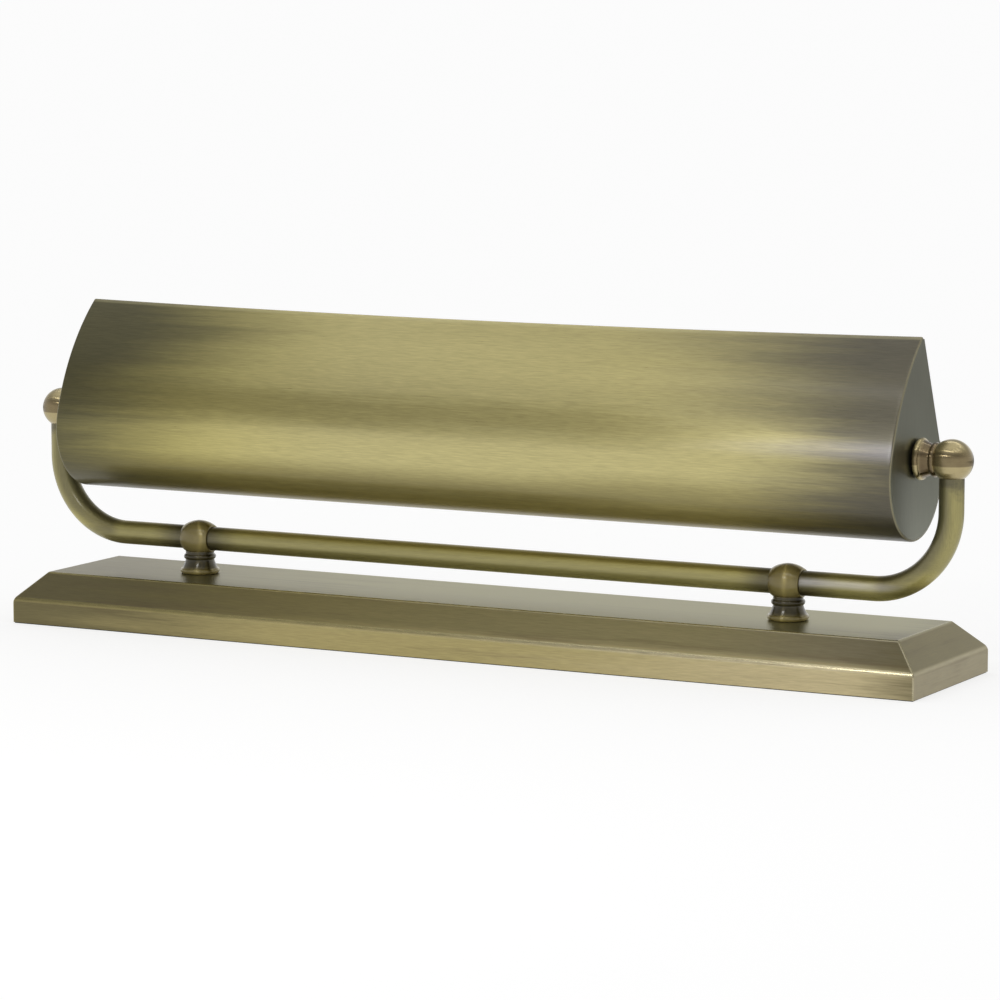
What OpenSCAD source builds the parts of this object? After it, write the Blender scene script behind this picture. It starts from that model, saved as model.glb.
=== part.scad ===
// Mantel light: a long low lamp with a trough shade that tilts in a tube yoke.
// The yoke swings in two ring posts on a sheet metal base.
// X runs along the lamp, Y to its open back, Z up. The origin is under the middle of the felt.

/* [Base] */
// Length of the base cover
base_len = 559; // [480:1:640]
// Depth of the base cover, front to back
base_depth = 104; // [90:1:130]
// Height of the base's flat top above the table
base_top = 29; // [26:0.5:36]
// How far the sloped band steps in, and also its height
band_step = 15; // [8:0.5:17]
// Gap between the cover's lower edge and the table
cover_lift = 0.6; // [0.2:0.1:1.5]
// Wall of the folded cover
cover_t = 1.2; // [0.8:0.1:2]
// Outside radius of the cover's folds
fold_r = 1.6; // [0.8:0.1:3]
// Thickness of the bottom plate
plate_t = 1.5; // [1:0.1:2]
// Gap between the bottom plate and the cover's walls
plate_gap = 0.4; // [0.2:0.1:1]
// Thickness of the felt under the plate
felt_t = 2; // [2:0.1:3]
// How far the felt stops short of the plate's edge
felt_inset = 2; // [1:0.5:8]
// Diameter of the tapped pillars under the cover's top
pillar_d = 8; // [6:0.5:12]
// Distance from the cover's end to a pillar's axis
pillar_end = 42; // [30:1:60]
// Distance from the middle plane to a pillar's axis
pillar_y = 24; // [14:1:28]
// Diameter of the plate screws
screw_d = 4; // [3:0.5:5]
// Length of a plate screw under its head
screw_len = 9; // [6:0.5:11]
// Diameter of a plate screw's head
screw_head_d = 7.5; // [6:0.5:9]
// Height of a plate screw's head
screw_head_h = 1.6; // [1:0.1:1.8]

/* [Ballast] */
// Length of the iron bar in the base
ballast_len = 320; // [200:1:336]
// Width of the iron bar
ballast_w = 56; // [30:1:66]
// Height of the iron bar
ballast_h = 11; // [10:0.5:14]
// Distance from the middle to each of the bar's two screws
ballast_screw_x = 120; // [60:1:140]

/* [Posts] */
// Distance from the middle to each post's axis
post_x = 185; // [170:1:200]
// Height of the tube's axis above the base's top
post_rise = 20.4; // [19:0.1:28]
// Wall of the ring at its middle
ring_wall = 3.4; // [2.5:0.1:5]
// Wall of the ring at its rims
ring_rim_wall = 0.9; // [0.5:0.1:2]
// Length of the ring along the tube
ring_len = 17.4; // [14:0.1:20]
// Diameter of the threaded stud under a post, and of the hollow nipples
stud_d = 9.5; // [8:0.1:11]
// Diameter of the wire hole through a stud or nipple
wire_hole_d = 5.6; // [4:0.1:6]
// Length of the stud below the base's top
stud_len = 11; // [10:0.5:13]
// Thickness of the washer under the base's top
post_washer_t = 1.5; // [1:0.1:2]
// Diameter of that washer
post_washer_d = 17; // [15:0.5:20]
// Width over the flats of the nuts on studs and nipples
nut_flats = 15; // [14:0.5:17]
// Thickness of those nuts
nut_t = 5; // [4:0.5:6]
// Diameter of the grub screw at the back of each ring
grub_d = 3; // [2:0.5:4]

/* [Turned foot] */
// Radius of the bell-shaped foot of posts and balls
foot_r = 11.2; // [10.5:0.1:13]
// Radius of the rounded rim of that foot
foot_edge_r = 1.5; // [1:0.1:2]
// Radius of the neck above the foot
neck_r = 8.1; // [7.5:0.1:9]
// Height of the neck above the foot's face
neck_h = 6.4; // [5.5:0.1:7]
// Radius of the hollow curve between neck and foot
flare_r = 6; // [5.5:0.1:8]
// Radius over the bead above the neck
bead_r = 8.9; // [8.6:0.1:10]
// Radius of the bead's rounding
bead_edge_r = 1.5; // [1:0.1:1.8]
// Gap between the neck's start and the bead
bead_gap = 0.6; // [0.2:0.1:1]

/* [Yoke] */
// Outside diameter of the yoke tube
tube_d = 13.5; // [12:0.1:15]
// Wall of the yoke tube
tube_t = 1.25; // [0.8:0.05:2]
// Bend radius of the yoke, to the middle of the tube
bend_radius = 43.3; // [35:0.1:55]
// Height of the shade's pivot above the level bar
arm_rise = 70.6; // [69:0.1:90]
// Diameter of the ball knobs
ball_d = 22.8; // [20:0.1:28]
// Distance from a ball's middle to the face of its foot
ball_reach = 18.8; // [18:0.1:24]
// Distance from a ball's middle to the end of its nipple
nipple_stop = 8; // [6:0.5:10]
// How far below the ball's middle the arm stops
arm_stop = 4; // [3:0.1:4.5]
// Diameter of the leads in the tube
lead_d = 3.2; // [2:0.1:4]

/* [Shade] */
// Length of the shade
shade_len = 517; // [470:1:560]
// Lean of the shade in its stored pose, top to the back
shade_lean = 6; // [0:0.5:15]
// Wall of the shade's sheet
sheet_t = 1.2; // [0.8:0.1:1.6]
// Thickness of the end caps
cap_t = 1.2; // [0.8:0.1:2]
// Outside radius of the trough's round bottom
trough_r = 36; // [33:0.5:40]
// How far the round bottom's centre lies below the pivot
trough_drop = 8; // [4:0.5:12]
// Height of the top edge above the pivot, at the shade's ends
peak_rise = 64; // [58:0.5:65]
// Radius of the bowed front between round bottom and top
front_r = 127; // [115:1:200]
// How far the top edge dips at the middle of its length
edge_dip = 2.3; // [0.5:0.1:5]

/* [Pivots] */
// Thickness of the washer between foot and end cap
friction_washer_t = 0.7; // [0.5:0.1:2]
// Radius of the washers on the nipples
pivot_washer_r = 8; // [7:0.1:9]
// Wall of the bush around a nipple
bush_wall = 1.7; // [1:0.1:2.5]
// Radius of the bush's flange
bush_flange_r = 9; // [8:0.1:11]
// Thickness of the bush's flange
bush_flange_t = 1.5; // [1:0.1:2]
// Thickness of the spring washer inside
spring_washer_t = 0.8; // [0.5:0.1:1.5]

/* [Lamps] */
// Outside diameter of a lamp socket
socket_d = 33; // [30:0.5:36]
// Length of a lamp socket
socket_len = 40; // [36:0.5:46]
// Thickness of the socket's back wall
socket_back = 8; // [6:0.5:10]
// Diameter of the screw cap of a bulb
bulb_cap_d = 26; // [24:0.5:27]
// Thickness of the socket's screw shell
shell_t = 0.4; // [0.3:0.1:0.8]
// Diameter of the socket's centre contact
contact_d = 8; // [6:0.5:10]
// Thickness of the centre contact
contact_t = 2; // [1:0.1:3]
// Diameter of the tubular bulb
bulb_d = 32; // [29:0.5:34]
// Length of a bulb from its contact to its tip
bulb_len = 140; // [120:1:160]
// Length of a bulb's screw cap
bulb_cap_len = 26; // [24:0.5:28]
// Length of the shoulder from screw cap to full width
bulb_shoulder = 12; // [8:0.5:20]
// Wall of the bulb's glass
glass_t = 0.8; // [0.5:0.1:1.2]

/* [Switch and inlet] */
// Distance from the middle to the cord inlet, towards the left end
inlet_x = 150; // [100:1:170]
// Bore of the inlet's bushing
inlet_bore_d = 6.4; // [5:0.1:7]
// Wall of the bushing
inlet_wall = 1.2; // [0.8:0.1:1.5]
// Thickness of the bushing's flanges
inlet_flange_t = 1.5; // [1:0.1:2]
// Distance from the middle to the switch, towards the right end
switch_x = 150; // [100:1:170]
// Width of the switch body along the base
switch_w = 20; // [16:0.5:26]
// Depth of the switch body from the wall inwards
switch_depth = 15; // [12:0.5:18]
// Height of the switch body
switch_h = 8.4; // [7.4:0.1:9]
// Diameter of the switch's threaded neck
switch_neck_d = 7; // [6:0.1:7.4]
// How far that neck stands out of the wall
switch_neck_out = 3.4; // [2.6:0.1:6]
// Thickness of the ring nut on that neck
ring_nut_t = 1.8; // [1:0.1:2.4]
// Diameter of the ring nut and of the bushing's flanges
ring_nut_d = 11; // [10:0.1:12]
// Diameter of the switch's shaft
shaft_d = 3; // [2.5:0.1:4]
// Diameter of the switch knob
knob_d = 11; // [9:0.1:12]
// Length of the switch knob
knob_len = 9; // [7:0.1:14]
// Diameter of the wires in the base
wire_d = 2.2; // [1.5:0.1:2.4]

/* [Fits] */
// Clearance all round a running shaft or pin
run_gap = 0.05; // [0.02:0.01:0.1]
// Clearance all round a fixed piece in its hole
seat_gap = 0.05; // [0.02:0.01:0.2]
// Gap between flat faces that slide past each other
slide_gap = 0.1; // [0.05:0.01:0.2]

/* [Hidden] */
$fn = 96;
// Overrun of a cut past the face it opens
eps = 0.5;
// Room round a screw head in the felt
head_gap = 0.75;
// Depth of a tapped hole past its screw's end
tap_spare = 1;
// How far a grub screw's end lies below the ring's outside
grub_sink = 0.6;
// Height of the snap lip inside the inlet bushing
snap_step = 0.4;
// Spacing of the wires that run along the base
lane_step = 4;
// Depth of the switch's shaft in its body
shaft_deep = 4;
antique_brass = [0.55, 0.51, 0.34];
polished_brass = [0.74, 0.67, 0.49];
brown_brass = [0.45, 0.38, 0.23];
steel = [0.62, 0.63, 0.65];
iron = [0.24, 0.24, 0.25];
felt_green = [0.10, 0.13, 0.11];
nylon_black = [0.06, 0.06, 0.06];
porcelain = [0.90, 0.88, 0.82];
frosted = [0.95, 0.95, 0.92];
copper_red = [0.60, 0.20, 0.14];

// Heights in the base
wall_top = base_top - band_step;
plate_bottom = felt_t;
plate_top = plate_bottom + plate_t;
roof = base_top - cover_t;
outlet_z = (cover_lift + wall_top) / 2;
pillar_x = base_len / 2 - pillar_end;
plate_half_x = base_len / 2 - cover_t - plate_gap;
plate_half_y = base_depth / 2 - cover_t - plate_gap;
back_y = base_depth / 2;
inner_back_y = back_y - cover_t;
// A sloped wall of even thickness shifts its folds by this share of the wall
slope_share = sqrt(2) - 1;
head_hole_d = screw_head_d + 2 * head_gap;
inlet_sleeve_d = inlet_bore_d + 2 * inlet_wall;
inlet_lip_d = inlet_sleeve_d + 2 * snap_step;

// Yoke
tube_r = tube_d / 2;
bar_z = base_top + post_rise;
pivot_z = bar_z + arm_rise;
ring_r = tube_r + ring_wall;
ring_half = ring_len / 2;
stud_r = stud_d / 2;

// Pieces along a pivot, from the middle of the shade outwards
cap_outer = shade_len / 2;
cap_inner = cap_outer - cap_t;
washer_inner = cap_outer + slide_gap;
foot_face = washer_inner + friction_washer_t;
arm_x = foot_face + ball_reach;
bush_inner = cap_inner - bush_flange_t;
spring_outer = bush_inner - slide_gap;
nut_outer = spring_outer - spring_washer_t;
socket_rear = nut_outer - nut_t;
contact_rear = socket_rear - socket_back;
nipple_outer = arm_x - nipple_stop;
bulb_rear = contact_rear - contact_t;
shell_r = bulb_cap_d / 2 + slide_gap + shell_t;
bore_r = shell_r + seat_gap;
bend_start = arm_x - bend_radius;

// Shade outline, about the pivot: first axis to the back, second axis up
trough_centre = [0, -trough_drop];
trim_spare = 0.5;
peak_trim = sheet_t + trim_spare;
peak = [0, peak_rise + peak_trim];
peak_reach = peak.y + trough_drop;
back_angle = asin(trough_r / peak_reach);
back_dir = [cos(back_angle), sin(back_angle)];
front_step = front_r - trough_r;
front_up = (peak_reach * peak_reach + front_step * front_step - front_r * front_r) / (2 * peak_reach);
front_back = sqrt(front_step * front_step - front_up * front_up);
front_centre = trough_centre + [front_back, front_up];
front_dir = [-front_back, -front_up] / front_step;
dip_steps = 6;

// Shared shapes

// Points of an arc that rounds the corner b of the path a, b, c with radius r
function unit(v) = v / norm(v);
function corner(a, b, c, r) =
  let (u = unit(a - b))
  let (w = unit(c - b))
  let (half = acos(u * w) / 2)
  let (middle = b + unit(u + w) * r / sin(half))
  let (start = atan2((b + u * r / tan(half) - middle).y, (b + u * r / tan(half) - middle).x))
  let (turn = (u.x * w.y - u.y * w.x > 0 ? -1 : 1) * (180 - 2 * half))
  [for (i = [0:6]) middle + r * [cos(start + turn * i / 6), sin(start + turn * i / 6)]];

// Cross-section of the base: upright walls, sloped bands and a flat top, with rounded folds
module base_section(half, low, shoulder, step, top, r) {
  side = [[half, low], [half, shoulder], [half - step, top], [0, top]];
  right = r > 0
    ? concat([side[0]], corner(side[0], side[1], side[2], r), corner(side[1], side[2], side[3], r))
    : [side[0], side[1], side[2]];
  count = len(right);
  left = [for (i = [1:count]) [-right[count - i].x, right[count - i].y]];
  polygon(concat(right, left));
}

// Extrude a section along X or along Y, centred
module along_x(length) {
  rotate([90, 0, 90])
    linear_extrude(length, center = true)
      children();
}

module along_y(length) {
  rotate([90, 0, 0])
    linear_extrude(length, center = true)
      children();
}

// A base block inset by a wall thickness all round
module base_block(inset, low, r) {
  shoulder = wall_top - inset * slope_share;
  step = band_step - inset * (1 - slope_share);
  top = base_top - inset;
  intersection() {
    along_x(base_len) base_section(base_depth / 2 - inset, low, shoulder, step, top, r);
    along_y(base_depth) base_section(base_len / 2 - inset, low, shoulder, step, top, r);
  }
}

// Both ends: the right one as drawn and its mirror image
module both_ends() {
  children();
  mirror([1, 0, 0]) children();
}

// A turned solid whose axis lies along X, from its half outline of radius and height towards +X
module turned_along_x() {
  rotate([0, 90, 0]) rotate_extrude() children();
}

// Half outline of the bell foot, neck and bead; the face is at height 0
module foot_outline(height) {
  bead_h = neck_h + bead_gap + bead_edge_r;
  square([neck_r, height]);
  translate([bead_r - bead_edge_r, bead_h]) circle(bead_edge_r);
  translate([foot_r - foot_edge_r, foot_edge_r]) circle(foot_edge_r);
  square([foot_r - foot_edge_r, 2 * foot_edge_r]);
  difference() {
    square([foot_r - foot_edge_r / 2, neck_h]);
    translate([neck_r + flare_r, neck_h]) circle(flare_r);
    translate([foot_r - foot_edge_r, -eps]) square([foot_edge_r, foot_edge_r + eps]);
  }
}

// A rod from point a to point b
module rod(a, b, d) {
  run = b - a;
  translate(a)
    rotate([0, acos(run.z / norm(run)), atan2(run.y, run.x)])
      cylinder(d = d, h = norm(run));
}

// A wire through a list of points, with a round at each turn
module wire(points, d) {
  last = len(points) - 1;
  for (i = [1:last]) rod(points[i - 1], points[i], d);
  for (i = [1:1:last - 1]) translate(points[i]) sphere(d = d);
}

// A flat ring or sleeve along X from x0 to x1
module ring_x(x0, x1, outer, inner) {
  translate([x0, 0, pivot_z])
    rotate([0, 90, 0])
      difference() {
        cylinder(r = outer, h = x1 - x0);
        translate([0, 0, -eps]) cylinder(r = inner, h = x1 - x0 + 2 * eps);
      }
}

// Places of the plate screws: one under each pillar and two under the ballast
pillar_places = [for (x = [-pillar_x, pillar_x], y = [-pillar_y, pillar_y]) [x, y]];
ballast_places = [[-ballast_screw_x, 0], [ballast_screw_x, 0]];
screw_places = concat(pillar_places, ballast_places);

// Base

module base_cover() {
  color(antique_brass)
  difference() {
    base_block(0, cover_lift, fold_r);
    base_block(cover_t, -eps, 0);
    for (x = [-post_x, post_x])
      translate([x, 0, roof - eps]) cylinder(r = stud_r + seat_gap, h = cover_t + 2 * eps);
    translate([-inlet_x, inner_back_y - eps, outlet_z])
      rotate([-90, 0, 0])
        cylinder(d = inlet_sleeve_d + 2 * seat_gap, h = cover_t + 2 * eps);
    translate([switch_x, inner_back_y - eps, outlet_z])
      rotate([-90, 0, 0]) cylinder(d = switch_neck_d + 2 * seat_gap, h = cover_t + 2 * eps);
  }
}

// The plate's back edge is notched behind the inlet bushing's snap lip
module bottom_plate() {
  notch_half = inlet_lip_d / 2 + plate_gap;
  notch_y = inner_back_y - inlet_flange_t - plate_gap;
  color(steel)
  difference() {
    translate([-plate_half_x, -plate_half_y, plate_bottom])
      cube([2 * plate_half_x, 2 * plate_half_y, plate_t]);
    for (place = screw_places)
      translate([place.x, place.y, plate_bottom - eps])
        cylinder(d = screw_d + 2 * seat_gap, h = plate_t + 2 * eps);
    translate([-inlet_x - notch_half, notch_y, plate_bottom - eps])
      cube([2 * notch_half, back_y - notch_y, plate_t + 2 * eps]);
  }
}

module felt_pad() {
  half_x = plate_half_x - felt_inset;
  half_y = plate_half_y - felt_inset;
  color(felt_green)
  difference() {
    translate([-half_x, -half_y, 0]) cube([2 * half_x, 2 * half_y, felt_t]);
    for (place = screw_places)
      translate([place.x, place.y, -eps]) cylinder(d = head_hole_d, h = felt_t + 2 * eps);
  }
}

// Depth of a tapped hole above the plate
tap_depth = screw_len - plate_t + tap_spare;

module ballast_bar() {
  color(iron)
  difference() {
    translate([-ballast_len / 2, -ballast_w / 2, plate_top]) cube([ballast_len, ballast_w, ballast_h]);
    for (place = ballast_places)
      translate([place.x, place.y, plate_top - eps])
        cylinder(d = screw_d + 2 * seat_gap, h = tap_depth + eps);
  }
}

module cover_pillars() {
  color(steel)
  for (place = pillar_places)
    translate([place.x, place.y, plate_top])
      difference() {
        cylinder(d = pillar_d, h = roof - plate_top);
        translate([0, 0, -eps]) cylinder(d = screw_d + 2 * seat_gap, h = tap_depth + eps);
      }
}

module plate_screws() {
  slot_w = screw_head_d / 6;
  slot_deep = screw_head_h / 2;
  color(steel)
  for (place = screw_places)
    translate([place.x, place.y, plate_bottom])
      difference() {
        union() {
          cylinder(d = screw_d, h = screw_len);
          translate([0, 0, -screw_head_h]) cylinder(d = screw_head_d, h = screw_head_h);
        }
        translate([-screw_head_d / 2 - eps, -slot_w / 2, -screw_head_h - eps])
          cube([screw_head_d + 2 * eps, slot_w, slot_deep + eps]);
      }
}

// Posts

// Half outline of the fat ring: radius outwards, length along the tube, bowed between its rims
module ring_outline() {
  bore = tube_r + run_gap;
  bow = ring_wall - ring_rim_wall;
  bow_r = (ring_half * ring_half + bow * bow) / (2 * bow);
  intersection() {
    translate([ring_r - bow_r, 0]) circle(bow_r);
    translate([bore, -ring_half]) square([ring_wall + eps, ring_len]);
  }
}

module grub_hole(d) {
  translate([0, 0, bar_z]) rotate([-90, 0, 0]) cylinder(d = d, h = ring_r + eps);
}

module ring_post(x) {
  color(brown_brass)
  translate([x, 0, 0])
  difference() {
    union() {
      translate([0, 0, base_top]) rotate_extrude() foot_outline(post_rise - tube_r);
      translate([0, 0, bar_z]) turned_along_x() ring_outline();
      translate([0, 0, base_top - stud_len]) cylinder(r = stud_r, h = stud_len + eps);
    }
    translate([-ring_half - foot_r, 0, bar_z])
      rotate([0, 90, 0]) cylinder(r = tube_r + run_gap, h = 2 * (ring_half + foot_r));
    translate([0, 0, base_top - stud_len - eps]) cylinder(d = wire_hole_d, h = stud_len + post_rise);
    grub_hole(grub_d + 2 * seat_gap);
  }
}

module ring_post_left() {
  ring_post(-post_x);
}

module ring_post_right() {
  ring_post(post_x);
}

module post_washers() {
  color(steel)
  for (x = [-post_x, post_x])
    translate([x, 0, roof - post_washer_t])
      difference() {
        cylinder(d = post_washer_d, h = post_washer_t);
        translate([0, 0, -eps]) cylinder(r = stud_r + seat_gap, h = post_washer_t + 2 * eps);
      }
}

// A hexagon nut standing on height 0
module hex_nut() {
  difference() {
    cylinder(d = nut_flats / cos(30), h = nut_t, $fn = 6);
    translate([0, 0, -eps]) cylinder(r = stud_r + seat_gap, h = nut_t + 2 * eps);
  }
}

module post_nuts() {
  color(steel)
  for (x = [-post_x, post_x])
    translate([x, 0, roof - post_washer_t - nut_t]) hex_nut();
}

module post_grub_screws() {
  grub_len = ring_wall - grub_sink;
  key_d = grub_d / 2;
  color(steel)
  for (x = [-post_x, post_x])
    translate([x, tube_r + 3 * run_gap, bar_z])
      rotate([-90, 0, 0])
        difference() {
          cylinder(d = grub_d, h = grub_len);
          translate([0, 0, grub_len / 2]) cylinder(d = key_d, h = grub_len, $fn = 6);
        }
}

// Cord inlet and switch in the back wall

module cord_bushing() {
  through = cover_t + 2 * inlet_flange_t;
  color(nylon_black)
  translate([-inlet_x, inner_back_y - inlet_flange_t, outlet_z])
    rotate([-90, 0, 0])
      difference() {
        union() {
          cylinder(d = inlet_sleeve_d, h = through);
          cylinder(d = inlet_lip_d, h = inlet_flange_t);
          translate([0, 0, inlet_flange_t + cover_t]) cylinder(d = ring_nut_d, h = inlet_flange_t);
        }
        translate([0, 0, -eps]) cylinder(d = inlet_bore_d, h = through + 2 * eps);
      }
}

switch_bore_r = shaft_d / 2 + run_gap;

module switch_body() {
  color(nylon_black)
  difference() {
    translate([switch_x - switch_w / 2, inner_back_y - switch_depth, plate_top])
      cube([switch_w, switch_depth, switch_h]);
    translate([switch_x, inner_back_y - shaft_deep - slide_gap, outlet_z])
      rotate([-90, 0, 0]) cylinder(r = switch_bore_r, h = shaft_deep + slide_gap + eps);
  }
}

module switch_neck() {
  reach = cover_t + switch_neck_out;
  color(polished_brass)
  translate([switch_x, inner_back_y, outlet_z])
    rotate([-90, 0, 0])
      difference() {
        cylinder(d = switch_neck_d, h = reach);
        translate([0, 0, -eps]) cylinder(r = switch_bore_r, h = reach + 2 * eps);
      }
}

module switch_ring_nut() {
  notch = 1;
  color(polished_brass)
  translate([switch_x, back_y, outlet_z])
    rotate([-90, 0, 0])
      difference() {
        cylinder(d = ring_nut_d, h = ring_nut_t);
        translate([0, 0, -eps]) cylinder(d = switch_neck_d + 2 * seat_gap, h = ring_nut_t + 2 * eps);
        for (turn = [0:30:330])
          rotate(turn) translate([ring_nut_d / 2, 0, -eps]) cylinder(d = notch, h = ring_nut_t + 2 * eps);
      }
}

knob_y = back_y + switch_neck_out + slide_gap;
shaft_in_knob = knob_len / 2;

module switch_shaft() {
  start = inner_back_y - shaft_deep;
  color(steel)
  translate([switch_x, start, outlet_z])
    rotate([-90, 0, 0]) cylinder(d = shaft_d, h = knob_y + shaft_in_knob - start);
}

module switch_knob() {
  flute_d = 1.6;
  flutes = 12;
  color(polished_brass)
  translate([switch_x, knob_y, outlet_z])
    rotate([-90, 0, 0])
      difference() {
        cylinder(d = knob_d, h = knob_len);
        translate([0, 0, -eps]) cylinder(d = shaft_d + 2 * seat_gap, h = shaft_in_knob + eps);
        for (i = [0:flutes - 1])
          rotate(i * 360 / flutes)
            translate([knob_d / 2 + flute_d / 4, 0, -eps]) cylinder(d = flute_d, h = knob_len + 2 * eps);
      }
}

// Wires in the base: inlet to switch, switch to left post, inlet to left post
module base_wiring() {
  inlet_y = inner_back_y - inlet_flange_t;
  lane_1 = inlet_y - lane_step;
  lane_2 = lane_1 - lane_step;
  side_step = wire_d / 2 + slide_gap;
  switch_side = switch_x - switch_w / 2;
  color(copper_red) {
    wire([
      [-inlet_x + side_step, inlet_y, outlet_z],
      [-inlet_x + side_step, lane_1, outlet_z],
      [switch_side, lane_1, outlet_z]
    ], wire_d);
    wire([
      [switch_side, lane_2, outlet_z],
      [-post_x + side_step, lane_2, outlet_z],
      [-post_x + side_step, 0, outlet_z],
      [-post_x + side_step, 0, base_top]
    ], wire_d);
    wire([
      [-inlet_x - side_step, inlet_y, outlet_z],
      [-inlet_x - side_step, lane_1, outlet_z],
      [-post_x - side_step, lane_1, outlet_z],
      [-post_x - side_step, 0, outlet_z],
      [-post_x - side_step, 0, base_top]
    ], wire_d);
  }
}

// Yoke

// A round bar of diameter d along the yoke's middle line, its arms up to the given height
module yoke_bar(d, arm_top) {
  translate([-bend_start, 0, bar_z]) rotate([0, 90, 0]) cylinder(d = d, h = 2 * bend_start);
  both_ends() {
    translate([bend_start, 0, bar_z + bend_radius])
      rotate([90, 0, 0]) rotate_extrude(angle = -90) translate([bend_radius, 0]) circle(d = d);
    translate([arm_x, 0, bar_z + bend_radius]) cylinder(d = d, h = arm_top - bar_z - bend_radius);
  }
}

module yoke_tube() {
  arm_top = pivot_z - arm_stop;
  swing_slot = 30;
  color(antique_brass)
  difference() {
    yoke_bar(tube_d, arm_top);
    yoke_bar(tube_d - 2 * tube_t, arm_top + eps);
    for (turn = [-swing_slot, 0, swing_slot])
      translate([-post_x, 0, bar_z]) rotate([180 + turn, 0, 0]) cylinder(d = wire_hole_d, h = tube_r + eps);
  }
}

// Leads along the tube, over each ball's middle and through the nipples to the sockets
module yoke_leads() {
  color(copper_red) {
    yoke_bar(lead_d, pivot_z);
    both_ends() {
      translate([arm_x, 0, pivot_z]) sphere(d = lead_d);
      rod([contact_rear, 0, pivot_z], [arm_x, 0, pivot_z], lead_d);
    }
  }
}

module ball_right() {
  color(polished_brass)
  difference() {
    union() {
      translate([foot_face, 0, pivot_z]) turned_along_x() foot_outline(ball_reach);
      translate([arm_x, 0, pivot_z]) sphere(d = ball_d);
    }
    translate([arm_x, 0, pivot_z - ball_d]) cylinder(r = tube_r + seat_gap, h = ball_d - arm_stop);
    translate([foot_face - eps, 0, pivot_z])
      rotate([0, 90, 0]) cylinder(r = stud_r + seat_gap, h = ball_reach + stud_r + eps);
  }
}

module ball_left() {
  mirror([1, 0, 0]) ball_right();
}

module pivot_nipples() {
  color(polished_brass)
  both_ends() ring_x(contact_rear, nipple_outer, stud_r, wire_hole_d / 2);
}

module friction_washers() {
  color(iron)
  both_ends() ring_x(washer_inner, foot_face, pivot_washer_r, stud_r + seat_gap);
}

module spring_washers() {
  color(steel)
  both_ends() ring_x(nut_outer, spring_outer, pivot_washer_r, stud_r + seat_gap);
}

module lock_nuts() {
  color(steel)
  both_ends() translate([socket_rear, 0, pivot_z]) rotate([0, 90, 0]) hex_nut();
}

// Lamps: each piece is drawn at the right end, its rear towards the end cap

module lamp_sockets() {
  mouth = socket_rear - socket_len;
  color(porcelain)
  both_ends() {
    ring_x(contact_rear, socket_rear, socket_d / 2, stud_r + seat_gap);
    ring_x(mouth, contact_rear, socket_d / 2, bore_r);
  }
}

module screw_shells() {
  color(polished_brass)
  both_ends() ring_x(bulb_rear - bulb_cap_len, bulb_rear, shell_r, shell_r - shell_t);
}

module centre_contacts() {
  color(polished_brass)
  both_ends() ring_x(bulb_rear, contact_rear, contact_d / 2, lead_d / 4);
}

module bulb_caps() {
  color(steel)
  both_ends() {
    ring_x(bulb_rear - bulb_cap_len, bulb_rear, bulb_cap_d / 2, bulb_cap_d / 2 - shell_t);
    ring_x(bulb_rear - contact_t, bulb_rear, bulb_cap_d / 2, lead_d / 4);
  }
}

// Half outline of a bulb's glass, rear at height 0, tip upwards, shrunk all round by inset
module bulb_outline(inset) {
  length = bulb_len - bulb_cap_len;
  r = bulb_d / 2;
  rear_r = bulb_cap_d / 2 - glass_t;
  dome = length - r;
  polygon([[0, 0], [rear_r - inset, 0], [r - inset, bulb_shoulder], [r - inset, dome], [0, dome]]);
  intersection() {
    translate([0, dome]) circle(r - inset);
    translate([0, dome - eps]) square([r, r + eps]);
  }
}

module bulb_glass() {
  color(frosted)
  both_ends()
    translate([bulb_rear - bulb_cap_len, 0, pivot_z])
      rotate([0, -90, 0])
        rotate_extrude()
          difference() {
            bulb_outline(0);
            bulb_outline(glass_t);
          }
}

// Shade

// Move drawn shade pieces from the pivot's own frame into their place, leaning back
module shade_place() {
  translate([0, 0, pivot_z]) rotate([-shade_lean, 0, 0]) children();
}

// Wedge from the trough's centre up to the pointed top; reach is how far out its back edge starts
module wedge_outline(reach) {
  polygon([
    trough_centre,
    trough_centre + reach * back_dir,
    peak,
    [-2 * trough_r, peak.y],
    trough_centre + 2 * trough_r * front_dir
  ]);
}

// The rest of the trough's surroundings, below that wedge
module bowl_outline() {
  polygon([
    trough_centre,
    trough_centre + 2 * trough_r * front_dir,
    trough_centre - 2 * trough_r * [1, 1],
    trough_centre + 2 * trough_r * [1, -1],
    trough_centre + 2 * trough_r * back_dir
  ]);
}

// Closed outline of the shade, inset from the sheet's outside on its round faces
module shade_outline(inset) {
  intersection() {
    translate(trough_centre) circle(trough_r - inset);
    bowl_outline();
  }
  intersection() {
    translate(front_centre) circle(front_r - inset);
    wedge_outline(trough_r - inset);
  }
}

// Wall of sheet metal inside a circle
module sheet_ring(r) {
  difference() {
    circle(r);
    circle(r - sheet_t);
  }
}

// Cut that trims the outline's sharp point and makes the top edge dip at its middle
module top_dip() {
  reach = cap_outer * (1 + 1 / dip_steps);
  edge = [
    for (i = [-dip_steps - 1:dip_steps + 1])
      [cap_outer * i / dip_steps, peak_rise - edge_dip * (1 - pow(i / dip_steps, 2))]
  ];
  rotate([90, 0, 0])
    linear_extrude(2 * trough_r, center = true)
      polygon(concat(edge, [[reach, 2 * peak_rise], [-reach, 2 * peak_rise]]));
}

module shade_sheet() {
  color(antique_brass)
  shade_place()
  difference() {
    along_x(shade_len) {
      intersection() {
        translate(trough_centre) sheet_ring(trough_r);
        bowl_outline();
      }
      intersection() {
        translate(front_centre) sheet_ring(front_r);
        wedge_outline(trough_r);
      }
    }
    top_dip();
  }
}

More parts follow.
